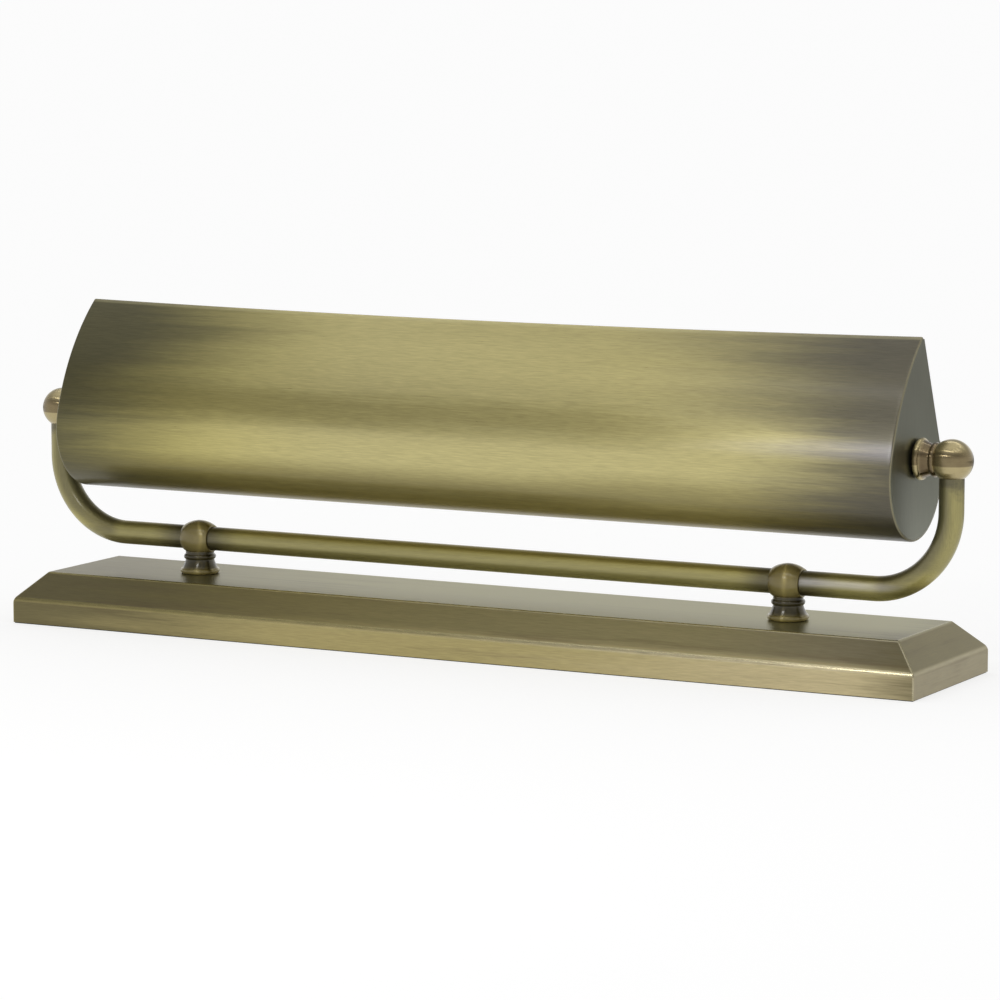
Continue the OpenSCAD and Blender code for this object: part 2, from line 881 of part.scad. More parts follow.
module end_cap_right() {
  bush_r = stud_r + run_gap + bush_wall;
  color(antique_brass)
  shade_place()
  difference() {
    translate([(cap_outer + cap_inner) / 2, 0, 0]) along_x(cap_t) shade_outline(sheet_t + seat_gap);
    translate([cap_inner - eps, 0, 0])
      rotate([0, 90, 0]) cylinder(r = bush_r + seat_gap, h = cap_t + 2 * eps);
    top_dip();
  }
}

module end_cap_left() {
  mirror([1, 0, 0]) end_cap_right();
}

module pivot_bushes() {
  bore = stud_r + run_gap;
  color(polished_brass)
  both_ends() {
    ring_x(cap_inner, cap_outer, bore + bush_wall, bore);
    ring_x(bush_inner, cap_inner, bush_flange_r, bore);
  }
}

base_cover();
bottom_plate();
felt_pad();
ballast_bar();
cover_pillars();
plate_screws();
ring_post_left();
ring_post_right();
post_washers();
post_nuts();
post_grub_screws();
cord_bushing();
switch_body();
switch_neck();
switch_ring_nut();
switch_shaft();
switch_knob();
base_wiring();
yoke_tube();
yoke_leads();
ball_left();
ball_right();
pivot_nipples();
friction_washers();
spring_washers();
lock_nuts();
lamp_sockets();
screw_shells();
centre_contacts();
bulb_caps();
bulb_glass();
shade_sheet();
end_cap_left();
end_cap_right();
pivot_bushes();
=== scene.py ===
import math

import bmesh
import bpy
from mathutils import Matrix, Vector


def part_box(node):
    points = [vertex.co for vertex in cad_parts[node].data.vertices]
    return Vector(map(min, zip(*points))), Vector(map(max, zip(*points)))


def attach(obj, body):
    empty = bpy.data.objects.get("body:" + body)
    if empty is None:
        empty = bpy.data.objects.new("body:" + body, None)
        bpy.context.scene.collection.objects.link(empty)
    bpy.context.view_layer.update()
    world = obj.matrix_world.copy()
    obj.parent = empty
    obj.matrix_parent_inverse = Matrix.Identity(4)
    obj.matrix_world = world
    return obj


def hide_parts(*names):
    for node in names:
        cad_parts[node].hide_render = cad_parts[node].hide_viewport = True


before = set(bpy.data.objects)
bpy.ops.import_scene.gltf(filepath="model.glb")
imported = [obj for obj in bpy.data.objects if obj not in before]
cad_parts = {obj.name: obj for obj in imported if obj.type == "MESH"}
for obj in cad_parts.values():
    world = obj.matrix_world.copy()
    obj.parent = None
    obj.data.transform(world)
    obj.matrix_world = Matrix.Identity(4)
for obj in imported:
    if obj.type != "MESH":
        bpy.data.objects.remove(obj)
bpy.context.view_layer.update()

mm = 0.001

# Sizes repeated from the part, in metres
base_half_len = 279.5 * mm
base_half_depth = 52 * mm
base_top = 29 * mm
band_step = 15 * mm
wall_top = base_top - band_step
cover_lift = 0.6 * mm
cover_wall = 1.2 * mm
outlet_z = 7.3 * mm
outlet_x = 150 * mm
pillar_x = 237.5 * mm
pillar_y = 24 * mm
ballast_screw_x = 120 * mm
post_x = 185 * mm
bar_z = 49.4 * mm
tube_r = 6.75 * mm
tube_wall = 1.25 * mm
arm_x = 278.1 * mm
arm_top = 116 * mm
bend_r = 43.3 * mm
pivot_z = 120 * mm
shade_half_len = 258.5 * mm
shade_lean = math.radians(6)
sheet_wall = 1.2 * mm
trough_r = 36 * mm
trough_drop = 8 * mm
front_r = 127 * mm
peak_rise = 64 * mm
peak_trim = 1.7 * mm
edge_dip = 2.3 * mm
foot_face = 259.3 * mm
ball_r = 11.4 * mm
ball_reach = 18.8 * mm
stud_r = 4.75 * mm

# Roundings and trim of the scene's own, in metres
fold_round = 0.7 * mm
shoulder_round = 2 * mm
felt_round = 0.7 * mm
felt_lip_t = 0.45 * mm
felt_lip_lift = 0.05 * mm
felt_lip_inset = 0.8 * mm
sheet_end_round = 0.9 * mm
sheet_edge_round = 0.35 * mm
cap_edge_round = 0.3 * mm

# Points of a mesh that lie closer than this are merged
merge_gap = 0.002 * mm

# Turns that lay a piece drawn about Z along another axis
ALONG_X = (0, math.radians(90), 0)
BACK_ALONG_X = (0, math.radians(-90), 0)
ALONG_Y = (math.radians(-90), 0, 0)


# Modelling helpers


def deselect():
    """Object mode, with nothing selected."""
    if bpy.context.object and bpy.context.object.mode != "OBJECT":
        bpy.ops.object.mode_set(mode="OBJECT")
    bpy.ops.object.select_all(action="DESELECT")


def edit(piece):
    """Edit mode on one piece, with all of it selected."""
    deselect()
    bpy.context.view_layer.objects.active = piece
    piece.select_set(True)
    bpy.ops.object.mode_set(mode="EDIT")
    bpy.ops.mesh.select_mode(type="VERT")
    bpy.ops.mesh.select_all(action="SELECT")


def pick(piece, kind, test):
    """Selects the faces or edges that pass a test, in edit mode."""
    bpy.ops.mesh.select_mode(type={"faces": "FACE", "edges": "EDGE"}[kind])
    bpy.ops.mesh.select_all(action="DESELECT")
    shape = bmesh.from_edit_mesh(piece.data)
    for part in getattr(shape, kind):
        part.select_set(test(part))
    shape.select_flush_mode()
    bmesh.update_edit_mesh(piece.data)


def settle(piece, place, turn=(0, 0, 0)):
    """Moves and turns a drawn piece to its place and puts that place into its mesh."""
    deselect()
    bpy.context.view_layer.objects.active = piece
    piece.select_set(True)
    piece.location = place
    piece.rotation_euler = turn
    bpy.ops.object.transform_apply(location=True, rotation=True, scale=True)
    return piece


def apply(piece, kind, **settings):
    """Adds one modifier and applies it."""
    deselect()
    bpy.context.view_layer.objects.active = piece
    piece.select_set(True)
    modifier = piece.modifiers.new(kind.title(), kind)
    for name, value in settings.items():
        setattr(modifier, name, value)
    bpy.ops.object.modifier_apply(modifier=modifier.name)
    return piece


def smooth(piece, angle):
    """Smooth shading, with edges sharper than the angle kept crisp."""
    deselect()
    bpy.context.view_layer.objects.active = piece
    piece.select_set(True)
    bpy.ops.object.shade_smooth_by_angle(angle=math.radians(angle))
    return piece


def crisp(piece, angle):
    """Smooth shading that leaves flat faces flat beside their rounded edges."""
    smooth(piece, angle)
    return apply(piece, "WEIGHTED_NORMAL", keep_sharp=True)


def tidy_shell(piece):
    """Merges doubles and turns the faces outwards."""
    edit(piece)
    bpy.ops.mesh.remove_doubles(threshold=merge_gap)
    bpy.ops.mesh.normals_make_consistent(inside=False)
    deselect()
    return piece


def pen(name, start):
    """One vertex at a start point, ready to be drawn along."""
    deselect()
    bpy.ops.mesh.primitive_plane_add(size=mm)
    piece = bpy.context.object
    piece.name = name
    edit(piece)
    bpy.ops.mesh.merge(type="CENTER")
    bpy.ops.transform.translate(value=start)
    return piece


def draw_to(step):
    """Extrudes what is selected by a step."""
    bpy.ops.mesh.extrude_region_move(TRANSFORM_OT_translate={"value": step})


def draw_run(length, steps):
    """Extrudes what is selected along a line, in equal steps."""
    for _ in range(steps):
        draw_to([part / steps for part in length])


def draw_arc(centre, axis, degrees, steps):
    """Spins what is selected about an axis, by the right-hand rule."""
    bpy.ops.mesh.spin(steps=steps, angle=-math.radians(degrees), center=centre, axis=axis)


def turned(name, start, strokes, around=64):
    """A solid of revolution about Z.

    A stroke is a line to (radius, height) or an arc (radius and height of its centre, degrees, steps).
    """
    piece = pen(name, (start[0], 0, start[1]))
    here = Vector((start[0], 0, start[1]))
    for stroke in strokes:
        if len(stroke) == 2:
            there = Vector((stroke[0], 0, stroke[1]))
            draw_to(there - here)
            here = there
        else:
            middle = Vector((stroke[0], 0, stroke[1]))
            draw_arc(middle, (0, -1, 0), stroke[2], stroke[3])
            arm = here - middle
            turn = math.radians(stroke[2])
            here = middle + Vector((
                arm.x * math.cos(turn) - arm.z * math.sin(turn), 0,
                arm.x * math.sin(turn) + arm.z * math.cos(turn),
            ))
    bpy.ops.mesh.select_all(action="SELECT")
    draw_arc((0, 0, 0), (0, 0, 1), 360, around)
    return tidy_shell(piece)


def rod(radius, length, place, turn=(0, 0, 0), around=64):
    """A plain cutter for bores."""
    deselect()
    bpy.ops.mesh.primitive_cylinder_add(
        vertices=around, radius=radius, depth=length, location=place, rotation=turn,
    )
    return bpy.context.object


def carve(piece, cutter, operation="DIFFERENCE"):
    """Cuts a piece with another one, or joins them, and removes the other one."""
    apply(piece, "BOOLEAN", object=cutter, operation=operation, solver="EXACT")
    bpy.data.objects.remove(cutter)
    return piece


def twin(piece, name):
    """A copy of a piece with its own mesh, mirrored to the other end of the lamp."""
    deselect()
    copy = piece.copy()
    copy.data = piece.data.copy()
    copy.name = name
    bpy.context.scene.collection.objects.link(copy)
    edit(copy)
    bpy.ops.transform.mirror(
        orient_type="GLOBAL", constraint_axis=(True, False, False), center_override=(0, 0, 0),
    )
    bpy.ops.mesh.flip_normals()
    deselect()
    return copy


# Camera, at the photograph's viewing angle

camera_place = Vector((1.13433, -2.12037, 0.39428))
camera_target = Vector((0.01023, 0.0, 0.08301))
camera_data = bpy.data.cameras.new("camera")
camera_data.sensor_width = 36.0
camera_data.lens = 157.55
camera_data.clip_end = 100.0
camera = bpy.data.objects.new("camera", camera_data)
camera.location = camera_place
camera.rotation_euler = (camera_target - camera_place).to_track_quat("-Z", "Y").to_euler()
bpy.context.scene.collection.objects.link(camera)
bpy.context.scene.camera = camera


# Finishes


class Finish:
    """A procedural material, built node by node around one Principled shader."""

    def __init__(self, name, metal=1.0, roughness=0.35):
        self.material = bpy.data.materials.new(name)
        self.material.use_nodes = True
        self.nodes = self.material.node_tree.nodes
        self.links = self.material.node_tree.links
        self.shader = self.nodes["Principled BSDF"]
        self.set("Metallic", metal)
        self.set("Roughness", roughness)
        self.point = self.nodes.new("ShaderNodeTexCoord").outputs["Object"]
        split = self.nodes.new("ShaderNodeSeparateXYZ")
        self.links.new(self.point, split.inputs[0])
        self.x, self.y, self.z = split.outputs

    def feed(self, socket, value):
        if isinstance(value, bpy.types.NodeSocket):
            self.links.new(value, socket)
        else:
            socket.default_value = value

    def set(self, socket, value):
        self.feed(self.shader.inputs[socket], value)

    def calc(self, operation, a, b=0.0, clamp=False):
        node = self.nodes.new("ShaderNodeMath")
        node.operation = operation
        node.use_clamp = clamp
        self.feed(node.inputs[0], a)
        self.feed(node.inputs[1], b)
        return node.outputs[0]

    def times(self, a, b):
        return self.calc("MULTIPLY", a, b)

    def plus(self, a, b, clamp=False):
        return self.calc("ADD", a, b, clamp)

    def minus(self, a, b):
        return self.calc("SUBTRACT", a, b)

    def most(self, a, b):
        return self.calc("MAXIMUM", a, b)

    def size(self, a):
        """A value without its sign."""
        return self.calc("ABSOLUTE", a)

    def length(self, a, b):
        """Length of the line that goes a one way and b square to it."""
        return self.calc("SQRT", self.plus(self.calc("POWER", a, 2.0), self.calc("POWER", b, 2.0)))

    def step(self, value, low, high):
        """Changes smoothly from 0 at low to 1 at high, whichever is larger."""
        node = self.nodes.new("ShaderNodeMapRange")
        node.interpolation_type = "SMOOTHSTEP"
        self.feed(node.inputs["Value"], value)
        node.inputs["From Min"].default_value = low
        node.inputs["From Max"].default_value = high
        return node.outputs["Result"]

    def band(self, value, low, low_full, high, high_full):
        """1 between the two full limits, falling smoothly to 0 at low and at high."""
        return self.times(self.step(value, low, low_full), self.step(value, high, high_full))

    def span(self, value, low, high, to_low, to_high):
        """Maps a range straight onto another."""
        node = self.nodes.new("ShaderNodeMapRange")
        self.feed(node.inputs["Value"], value)
        node.inputs["From Min"].default_value = low
        node.inputs["From Max"].default_value = high
        node.inputs["To Min"].default_value = to_low
        node.inputs["To Max"].default_value = to_high
        return node.outputs["Result"]

    def noise(self, stretch, detail=2.0, rough=0.5):
        """Noise with its own number of features per metre along X, Y and Z."""
        place = self.nodes.new("ShaderNodeMapping")
        self.links.new(self.point, place.inputs["Vector"])
        place.inputs["Scale"].default_value = stretch
        node = self.nodes.new("ShaderNodeTexNoise")
        self.links.new(place.outputs[0], node.inputs["Vector"])
        node.inputs["Scale"].default_value = 1.0
        node.inputs["Detail"].default_value = detail
        node.inputs["Roughness"].default_value = rough
        return node.outputs["Fac"]

    def ripple(self, stretch, detail=2.0, rough=0.5):
        """The same noise, about 0."""
        return self.minus(self.noise(stretch, detail, rough), 0.5)

    def mix(self, share, a, b, blend="MIX"):
        node = self.nodes.new("ShaderNodeMix")
        node.data_type = "RGBA"
        node.blend_type = blend
        self.feed(node.inputs[0], share)
        self.feed(node.inputs[6], a)
        self.feed(node.inputs[7], b)
        return node.outputs[2]

    def bump(self, height, strength, distance):
        node = self.nodes.new("ShaderNodeBump")
        node.inputs["Strength"].default_value = strength
        node.inputs["Distance"].default_value = distance
        self.feed(node.inputs["Height"], height)
        self.set("Normal", node.outputs[0])

    def grain(self, axis):
        """Tangents that run round an axis, so that gloss spreads across a grain along it."""
        node = self.nodes.new("ShaderNodeTangent")
        node.direction_type = "RADIAL"
        node.axis = axis
        self.set("Tangent", node.outputs[0])


def tone(red, green, blue):
    """A colour given in screen values from 0 to 255."""
    def linear(value):
        share = value / 255
        return share / 12.92 if share <= 0.04045 else ((share + 0.055) / 1.055) ** 2.4
    return (linear(red), linear(green), linear(blue), 1.0)


BRIGHT_BRASS = tone(188, 178, 124)
OLIVE_BRASS = tone(156, 148, 96)
PALE_BRASS = tone(194, 186, 142)
WARM_GLANCE = (1.0, 0.97, 0.89, 1.0)
BROWN_PATINA = tone(92, 78, 52)


def streaks(finish, axis):
    """Brushed grain about 0 along an axis, and the coarser part of it."""
    def lines(along, across):
        return [along if letter == axis else across for letter in "XYZ"]
    fine = finish.ripple(lines(110, 2600), detail=2.0, rough=0.6)
    middle = finish.ripple(lines(30, 900), detail=2.0)
    wide = finish.ripple(lines(7, 200), detail=2.0)
    coarse = finish.plus(finish.times(middle, 0.45), finish.times(wide, 0.55))
    grain = finish.plus(finish.times(fine, 0.75), finish.times(middle, 0.18))
    grain = finish.plus(grain, finish.times(wide, 0.07))
    return grain, coarse


def brushed(finish, colour, grain, contrast, rough, rough_change,
            lacquer=0.35, relief=0.12, lacquer_rough=0.18):
    """Colours a metal with its grain in colour, gloss and relief, under clear lacquer."""
    shade = finish.plus(finish.times(grain, contrast), 1.0)
    combine = finish.nodes.new("ShaderNodeCombineColor")
    for channel in range(3):
        finish.links.new(shade, combine.inputs[channel])
    finish.set("Base Color", finish.mix(1.0, colour, combine.outputs[0], blend="MULTIPLY"))
    finish.set("Roughness", finish.plus(finish.times(grain, rough_change), rough))
    finish.bump(grain, relief, 0.05 * mm)
    finish.set("Coat Weight", lacquer)
    finish.set("Coat Roughness", lacquer_rough)
    return finish.material


def shade_finish():
    """Shade: brushed along its length."""
    finish = Finish("shade_antique_brass")
    grain, coarse = streaks(finish, "X")
    drift = finish.ripple((7, 45, 45), detail=3.0)
    ragged = finish.plus(finish.times(coarse, 0.08), finish.times(drift, 0.06))
    # Dark patina at both ends, reaching further in above
    upper = finish.step(finish.z, 0.130, 0.168)
    lower = finish.step(finish.z, 0.144, 0.124)
    to_left = finish.minus(ragged, finish.x)
    to_left = finish.plus(to_left, finish.span(upper, 0.0, 1.0, -0.05, 0.0))
    to_right = finish.plus(ragged, finish.x)
    high_right = finish.plus(to_right, finish.times(finish.step(finish.z, 0.150, 0.178), 0.02))
    low_right = finish.plus(to_right, finish.times(finish.step(finish.z, 0.112, 0.086), 0.02))
    right = finish.mix(lower, finish.step(high_right, 0.092, 0.256), finish.step(low_right, 0.166, 0.265))
    ends = finish.most(finish.step(to_left, 0.080, 0.230), right)
    # Browner along the bottom
    below = finish.step(finish.plus(finish.z, finish.times(ragged, 0.2)), 0.099, 0.080)
    brass = finish.mix(finish.step(finish.x, -0.24, -0.05), tone(184, 173, 104), BRIGHT_BRASS)
    colour = finish.mix(finish.times(below, 0.55), brass, tone(158, 142, 76))
    # Painted shade: a darker band along the lower front, a little higher to the right
    low = finish.minus(finish.z, finish.span(finish.x, 0.04, 0.12, 0.0, 4 * mm))
    sole = finish.band(low, 0.0835, 0.0905, 0.1065, 0.0935)
    colour = finish.mix(finish.times(sole, 0.45), colour, tone(104, 94, 42))
    # Painted shade: darker above, towards the right, to tone down the light that falls there
    crest = finish.times(finish.step(finish.z, 0.166, 0.178), finish.step(finish.x, -0.12, 0.08))
    brow = finish.times(finish.step(finish.z, 0.136, 0.152), finish.step(finish.x, -0.04, 0.12))
    painted_dim_above = finish.most(crest, finish.times(brow, 0.8))
    painted_dim_above = finish.times(painted_dim_above, 0.3)
    colour = finish.mix(painted_dim_above, colour, tone(140, 130, 80))
    # A painted dark reflection along the middle, as a dull belt, which ends before the right end
    painted_reflection_z = finish.plus(finish.z, finish.times(ragged, 0.15))
    painted_reflection = finish.band(painted_reflection_z, 0.119, 0.130, 0.147, 0.134)
    painted_reflection = finish.times(painted_reflection, finish.step(finish.plus(finish.x, ragged), 0.17, 0.07))
    painted_reflection = finish.times(painted_reflection, finish.span(finish.x, -0.2, 0.0, 0.7, 0.5))
    colour = finish.mix(painted_reflection, colour, tone(140, 130, 76))
    end_patina = finish.mix(finish.step(finish.x, -0.05, 0.05), tone(89, 85, 59), tone(92, 88, 75))
    colour = finish.mix(ends, colour, end_patina)
    # A painted grey sheen along the belly of the right end
    painted_sheen_z = finish.size(finish.minus(finish.z, 0.126))
    painted_sheen = finish.times(finish.step(painted_sheen_z, 7.5 * mm, 0.5 * mm), finish.step(to_right, 0.12, 0.205))
    colour = finish.mix(finish.times(painted_sheen, 0.18), colour, tone(162, 160, 178))
    # Rubbed pale along the top edge and round the ends
    reach = finish.size(finish.x)
    sag = finish.times(finish.calc("POWER", finish.calc("DIVIDE", reach, shade_half_len), 2.0), edge_dip)
    lip = finish.step(finish.minus(finish.z, sag), 0.1796, 0.1806)
    rim = finish.step(reach, shade_half_len - 0.8 * mm, shade_half_len - 0.2 * mm)
    pale_wear_and_glint = finish.times(finish.most(lip, rim), 0.27)
    colour = finish.mix(pale_wear_and_glint, colour, PALE_BRASS)
    finish.grain("X")
    finish.set("Anisotropic", 0.35)
    dullness = finish.span(finish.z, 0.088, 0.108, 0.46, 0.33)
    return brushed(finish, colour, grain, contrast=0.85, rough=dullness, rough_change=0.25)


def cap_finish():
    """End caps: dull, painted darker than their brass and darker still above, as shade."""
    finish = Finish("cap_brass_painted_shade")
    cloud = finish.ripple((30, 30, 30), detail=4.0)
    grain = finish.ripple((200, 900, 60), detail=3.0)
    # Painted shade: the caps' tones stand in for the dim reflections at their sides, darker above
    lift = finish.step(finish.plus(finish.z, finish.times(cloud, 0.03)), 0.08, 0.18)
    colour = finish.mix(lift, tone(132, 134, 118), tone(104, 104, 86))
    return brushed(finish, colour, grain, contrast=0.3, rough=0.36, rough_change=0.1)


def base_finish(name, along_x):
    """Base cover: brushed along its length, or across it on its ends, with its folds rubbed pale."""
    finish = Finish(name)
    axis = "X" if along_x else "Y"
    grain, coarse = streaks(finish, axis)
    drift = finish.ripple((7, 30, 60), detail=3.0)
    ragged = finish.plus(finish.times(coarse, 1.6), drift)
    reach = finish.size(finish.x)
    depth = finish.size(finish.y)
    # Sloped band darker than the walls, top greyer
    band = finish.band(
        finish.z, wall_top - 0.2 * mm, wall_top + 1.2 * mm, base_top - 0.1 * mm, base_top - 0.7 * mm,
    )
    top = finish.step(finish.z, base_top - 0.6 * mm, base_top - 0.1 * mm)
    # Painted light and shade: front and back walls lighter towards the right, the right end wall darker
    rightwards = finish.step(finish.plus(finish.x, finish.times(ragged, 0.1)), 0.0, 0.26)
    right_wall = tone(190, 176, 136) if along_x else tone(150, 140, 110)
    wall = finish.mix(rightwards, tone(165, 152, 102), right_wall)
    slope = finish.mix(finish.step(finish.x, -0.2, 0.15), tone(116, 106, 63), tone(129, 120, 82))
    slope = finish.mix(finish.step(finish.x, 0.12, 0.26) if along_x else 0.0, slope, tone(112, 104, 80))
    # Painted light: the front band lighter down towards the shoulder and towards the right
    lit = finish.step(finish.z, wall_top + 4.6 * mm, wall_top - 0.2 * mm)
    lit = finish.times(lit, finish.span(finish.x, -0.1, 0.2, 0.4, 0.65))
    along = finish.step(finish.x, -0.2, 0.2)
    lit_tone = finish.mix(along, tone(152, 140, 86), tone(186, 173, 128))
    slope = finish.mix(lit if along_x else 0.0, slope, lit_tone)
    colour = finish.mix(band, wall, slope)
    colour = finish.mix(top, colour, tone(152, 149, 110))
    # Patina at both ends, and in ragged patches all over
    left_end = finish.step(finish.minus(finish.times(ragged, 0.12), finish.x), 0.06, 0.27)
    right_end = finish.step(finish.plus(finish.times(ragged, 0.05), finish.x), 0.235, 0.295)
    ends = finish.times(finish.most(left_end, right_end), 0.85 if along_x else 0.4)
    colour = finish.mix(ends, colour, tone(92, 85, 57))
    patina = finish.times(finish.step(ragged, 0.05, 0.5), 0.5)
    colour = finish.mix(patina, colour, BROWN_PATINA)
    # Folds rubbed pale: shoulder, top edge, hips and corners, with a painted highlight along the front
    # ones, paler towards the right
    shoulder = finish.step(finish.size(finish.minus(finish.z, wall_top)), 1.7 * mm, 0.3 * mm)
    out_x = finish.minus(reach, base_half_len - band_step)
    out_y = finish.minus(depth, base_half_depth - band_step)
    edge = finish.most(out_x, out_y)
    ledge = finish.step(finish.size(edge), 1.2 * mm, 0.5 * mm)
    ledge = finish.times(ledge, finish.step(finish.z, base_top - 1.4 * mm, base_top - 0.6 * mm))
    hip = finish.step(finish.size(finish.minus(out_x, out_y)), 1.2 * mm, 0.5 * mm)
    hip = finish.times(hip, finish.step(finish.z, base_top - 0.6 * mm, base_top - 1.2 * mm))
    folds = finish.most(finish.most(shoulder, ledge), hip)
    wear_and_highlight = finish.times(folds, finish.span(drift, -0.25, 0.25, 0.1, 0.6 if along_x else 0.2))
    colour = finish.mix(wear_and_highlight, colour, finish.mix(along, tone(176, 164, 106), tone(214, 207, 178)))
    finish.grain(axis)
    finish.set("Anisotropic", 0.35)
    finish.set("Specular Tint", WARM_GLANCE)
    dullness = finish.span(folds, 0.0, 1.0, 0.34, 0.22 if along_x else 0.32)
    dullness = finish.plus(dullness, finish.times(top, 0.05))
    return brushed(
        finish, colour, grain, contrast=0.8, rough=dullness, rough_change=0.25, lacquer_rough=0.30,
    )


def tube_finish():
    """Yoke tube: brushed along the bar and up the arms."""
    finish = Finish("tube_antique_brass")
    lengthwise, coarse = streaks(finish, "X")
    upright = streaks(finish, "Z")[0]
    arms = finish.step(finish.z, 0.060, 0.080)
    grain = finish.plus(finish.times(lengthwise, finish.minus(1.0, arms)), finish.times(upright, arms))
    reach = finish.size(finish.x)
    drift = finish.ripple((25, 60, 25), detail=3.0)
    ragged = finish.times(finish.plus(coarse, drift), 0.014)
    # Patina left dark beside the rings and under the balls
    beside = finish.size(finish.minus(finish.plus(reach, ragged), post_x))
    near_post = finish.times(finish.step(beside, 0.034, 0.010), finish.step(finish.z, 0.07, 0.06))
    under_ball = finish.step(finish.plus(finish.z, ragged), 0.098, 0.112)
    # Painted shade along the inside of the bends
    from_x = finish.most(finish.minus(reach, arm_x - bend_r), 0.0)
    from_z = finish.most(finish.minus(bar_z + bend_r, finish.z), 0.0)
    bend = finish.length(from_x, from_z)
    inside = finish.step(bend, bend_r + 4.5 * mm, bend_r - 1.5 * mm)
    inside = finish.times(inside, finish.step(from_x, 0.0, 8 * mm))
    inside = finish.times(inside, 0.7)
    dark = finish.most(finish.most(near_post, under_ball), inside)
    dark = finish.times(dark, 0.85)
    # Painted light: paler along the underside and the top of the bar, standing in for reflected light
    under = finish.step(finish.z, bar_z - 1.5 * mm, bar_z - 5 * mm)
    under = finish.times(under, finish.span(finish.x, -0.1, 0.15, 0.6, 0.95))
    colour = finish.mix(under, OLIVE_BRASS, tone(206, 198, 146))
    over = finish.band(finish.z, bar_z + 1.5 * mm, bar_z + 4.5 * mm, bar_z + 14 * mm, bar_z + 8 * mm)
    colour = finish.mix(finish.times(over, 0.5), colour, tone(192, 181, 109))
    colour = finish.mix(dark, colour, tone(86, 81, 64))
    # A painted highlight in front, beside the right post
    high = finish.size(finish.minus(finish.z, bar_z + 1.8 * mm))
    pale_wear_and_glint = finish.times(finish.step(high, 3.4 * mm, 0.4 * mm), finish.step(finish.y, 0.0, -3 * mm))
    beyond = finish.plus(finish.x, ragged)
    pale_wear_and_glint = finish.times(pale_wear_and_glint, finish.step(beyond, post_x, post_x + 0.012))
    pale_wear_and_glint = finish.times(pale_wear_and_glint, finish.step(beyond, 0.262, 0.225))
    colour = finish.mix(finish.times(pale_wear_and_glint, 0.4), colour, tone(206, 203, 204))
    return brushed(finish, colour, grain, contrast=0.8, rough=0.5, rough_change=0.2, lacquer=0.6)


def turned_finish(name, bright, dark, axis):
    """Turned brass with faint rings round its axis and patina in its hollows.

    A post's axis is Z. A ball's axis is X, and it has a painted shade band above its middle too.
    """
    finish = Finish(name)
    rings = (40, 40, 1600) if axis == "Z" else (1600, 40, 40)
    grain = finish.ripple(rings, detail=2.0)
    cloud = finish.ripple((160, 160, 160), detail=3.0)
    if axis == "Z":
        aside = finish.minus(finish.size(finish.x), post_x)
        radius = finish.length(aside, finish.y)
        below_ring = finish.step(finish.z, base_top + 13.5 * mm, base_top + 12.5 * mm)
        hollow = finish.times(finish.step(radius, 11.0 * mm, 9.2 * mm), below_ring)
    else:
        up = finish.minus(finish.z, pivot_z)
        radius = finish.length(up, finish.y)
        inside = finish.step(finish.size(finish.x), foot_face + 11.5 * mm, foot_face + 10.5 * mm)
        hollow = finish.times(finish.step(radius, 11.0 * mm, 9.2 * mm), inside)
        # Painted shade: a dark band above the ball's middle, joined to the hollows' patina, so hollow and
        # patina carry both
        above = finish.band(up, -2.6 * mm, -1.8 * mm, 9 * mm, 3 * mm)
        hollow = finish.most(hollow, finish.times(above, 0.8))
    patina = finish.plus(finish.times(hollow, 0.9), finish.times(cloud, 0.4), clamp=True)
    colour = finish.mix(patina, bright, dark)
    finish.grain(axis)
    finish.set("Anisotropic", 1.0)
    finish.set("Anisotropic Rotation", 0.25)
    return brushed(
        finish, colour, grain, contrast=0.12, rough=0.44 if axis == "Z" else 0.24, rough_change=0.05,
        lacquer=0.8 if axis == "Z" else 0.35, relief=0.02,
    )


def plain_finish(name, light, dark, metal, roughness, scale, contrast, relief=0.0):
    """A finish with soft clouds of two tones and a fine grain."""
    finish = Finish(name, metal=metal)
    cloud = finish.noise((scale, scale, scale), detail=4.0)
    fine = finish.noise((scale * 12, scale * 12, scale * 12), detail=2.0)
    share = finish.plus(finish.times(finish.minus(cloud, 0.5), contrast), 0.5, clamp=True)
    finish.set("Base Color", finish.mix(share, light, dark))
    finish.set("Roughness", finish.span(fine, 0.3, 0.7, roughness - 0.06, roughness + 0.06))
    if relief:
        finish.bump(fine, 0.4, relief)
    return finish


def felt_finish():
    finish = plain_finish(
        "felt_dark_green", tone(42, 52, 44), tone(24, 30, 26),
        metal=0.0, roughness=0.95, scale=300, contrast=1.6, relief=0.3 * mm,
    )
    finish.set("Sheen Weight", 0.4)
    finish.set("Sheen Roughness", 0.5)
    return finish.material


def glass_finish():
    finish = plain_finish(
        "bulb_frosted_glass", tone(246, 245, 240), tone(236, 235, 230),
        metal=0.0, roughness=0.32, scale=120, contrast=1.0,
    )
    finish.set("Subsurface Weight", 0.25)
    finish.set("Subsurface Radius", (2 * mm, 2 * mm, 2 * mm))
    finish.set("Subsurface Scale", 1.0)
    finish.set("Coat Weight", 0.3)
    finish.set("Coat Roughness", 0.1)
    return finish.material


def porcelain_finish():
    finish = plain_finish(
        "socket_porcelain", tone(238, 235, 226), tone(226, 222, 210),
        metal=0.0, roughness=0.18, scale=60, contrast=1.0,
    )
    finish.set("Coat Weight", 0.6)
    finish.set("Coat Roughness", 0.06)
    return finish.material


shade_brass = shade_finish()
cap_brass = cap_finish()
base_brass = base_finish("base_brass_lengthwise", True)
base_end_brass = base_finish("base_brass_across", False)
tube_brass = tube_finish()
ball_brass = turned_finish("ball_polished_brass", tone(176, 162, 120), tone(98, 82, 58), "X")
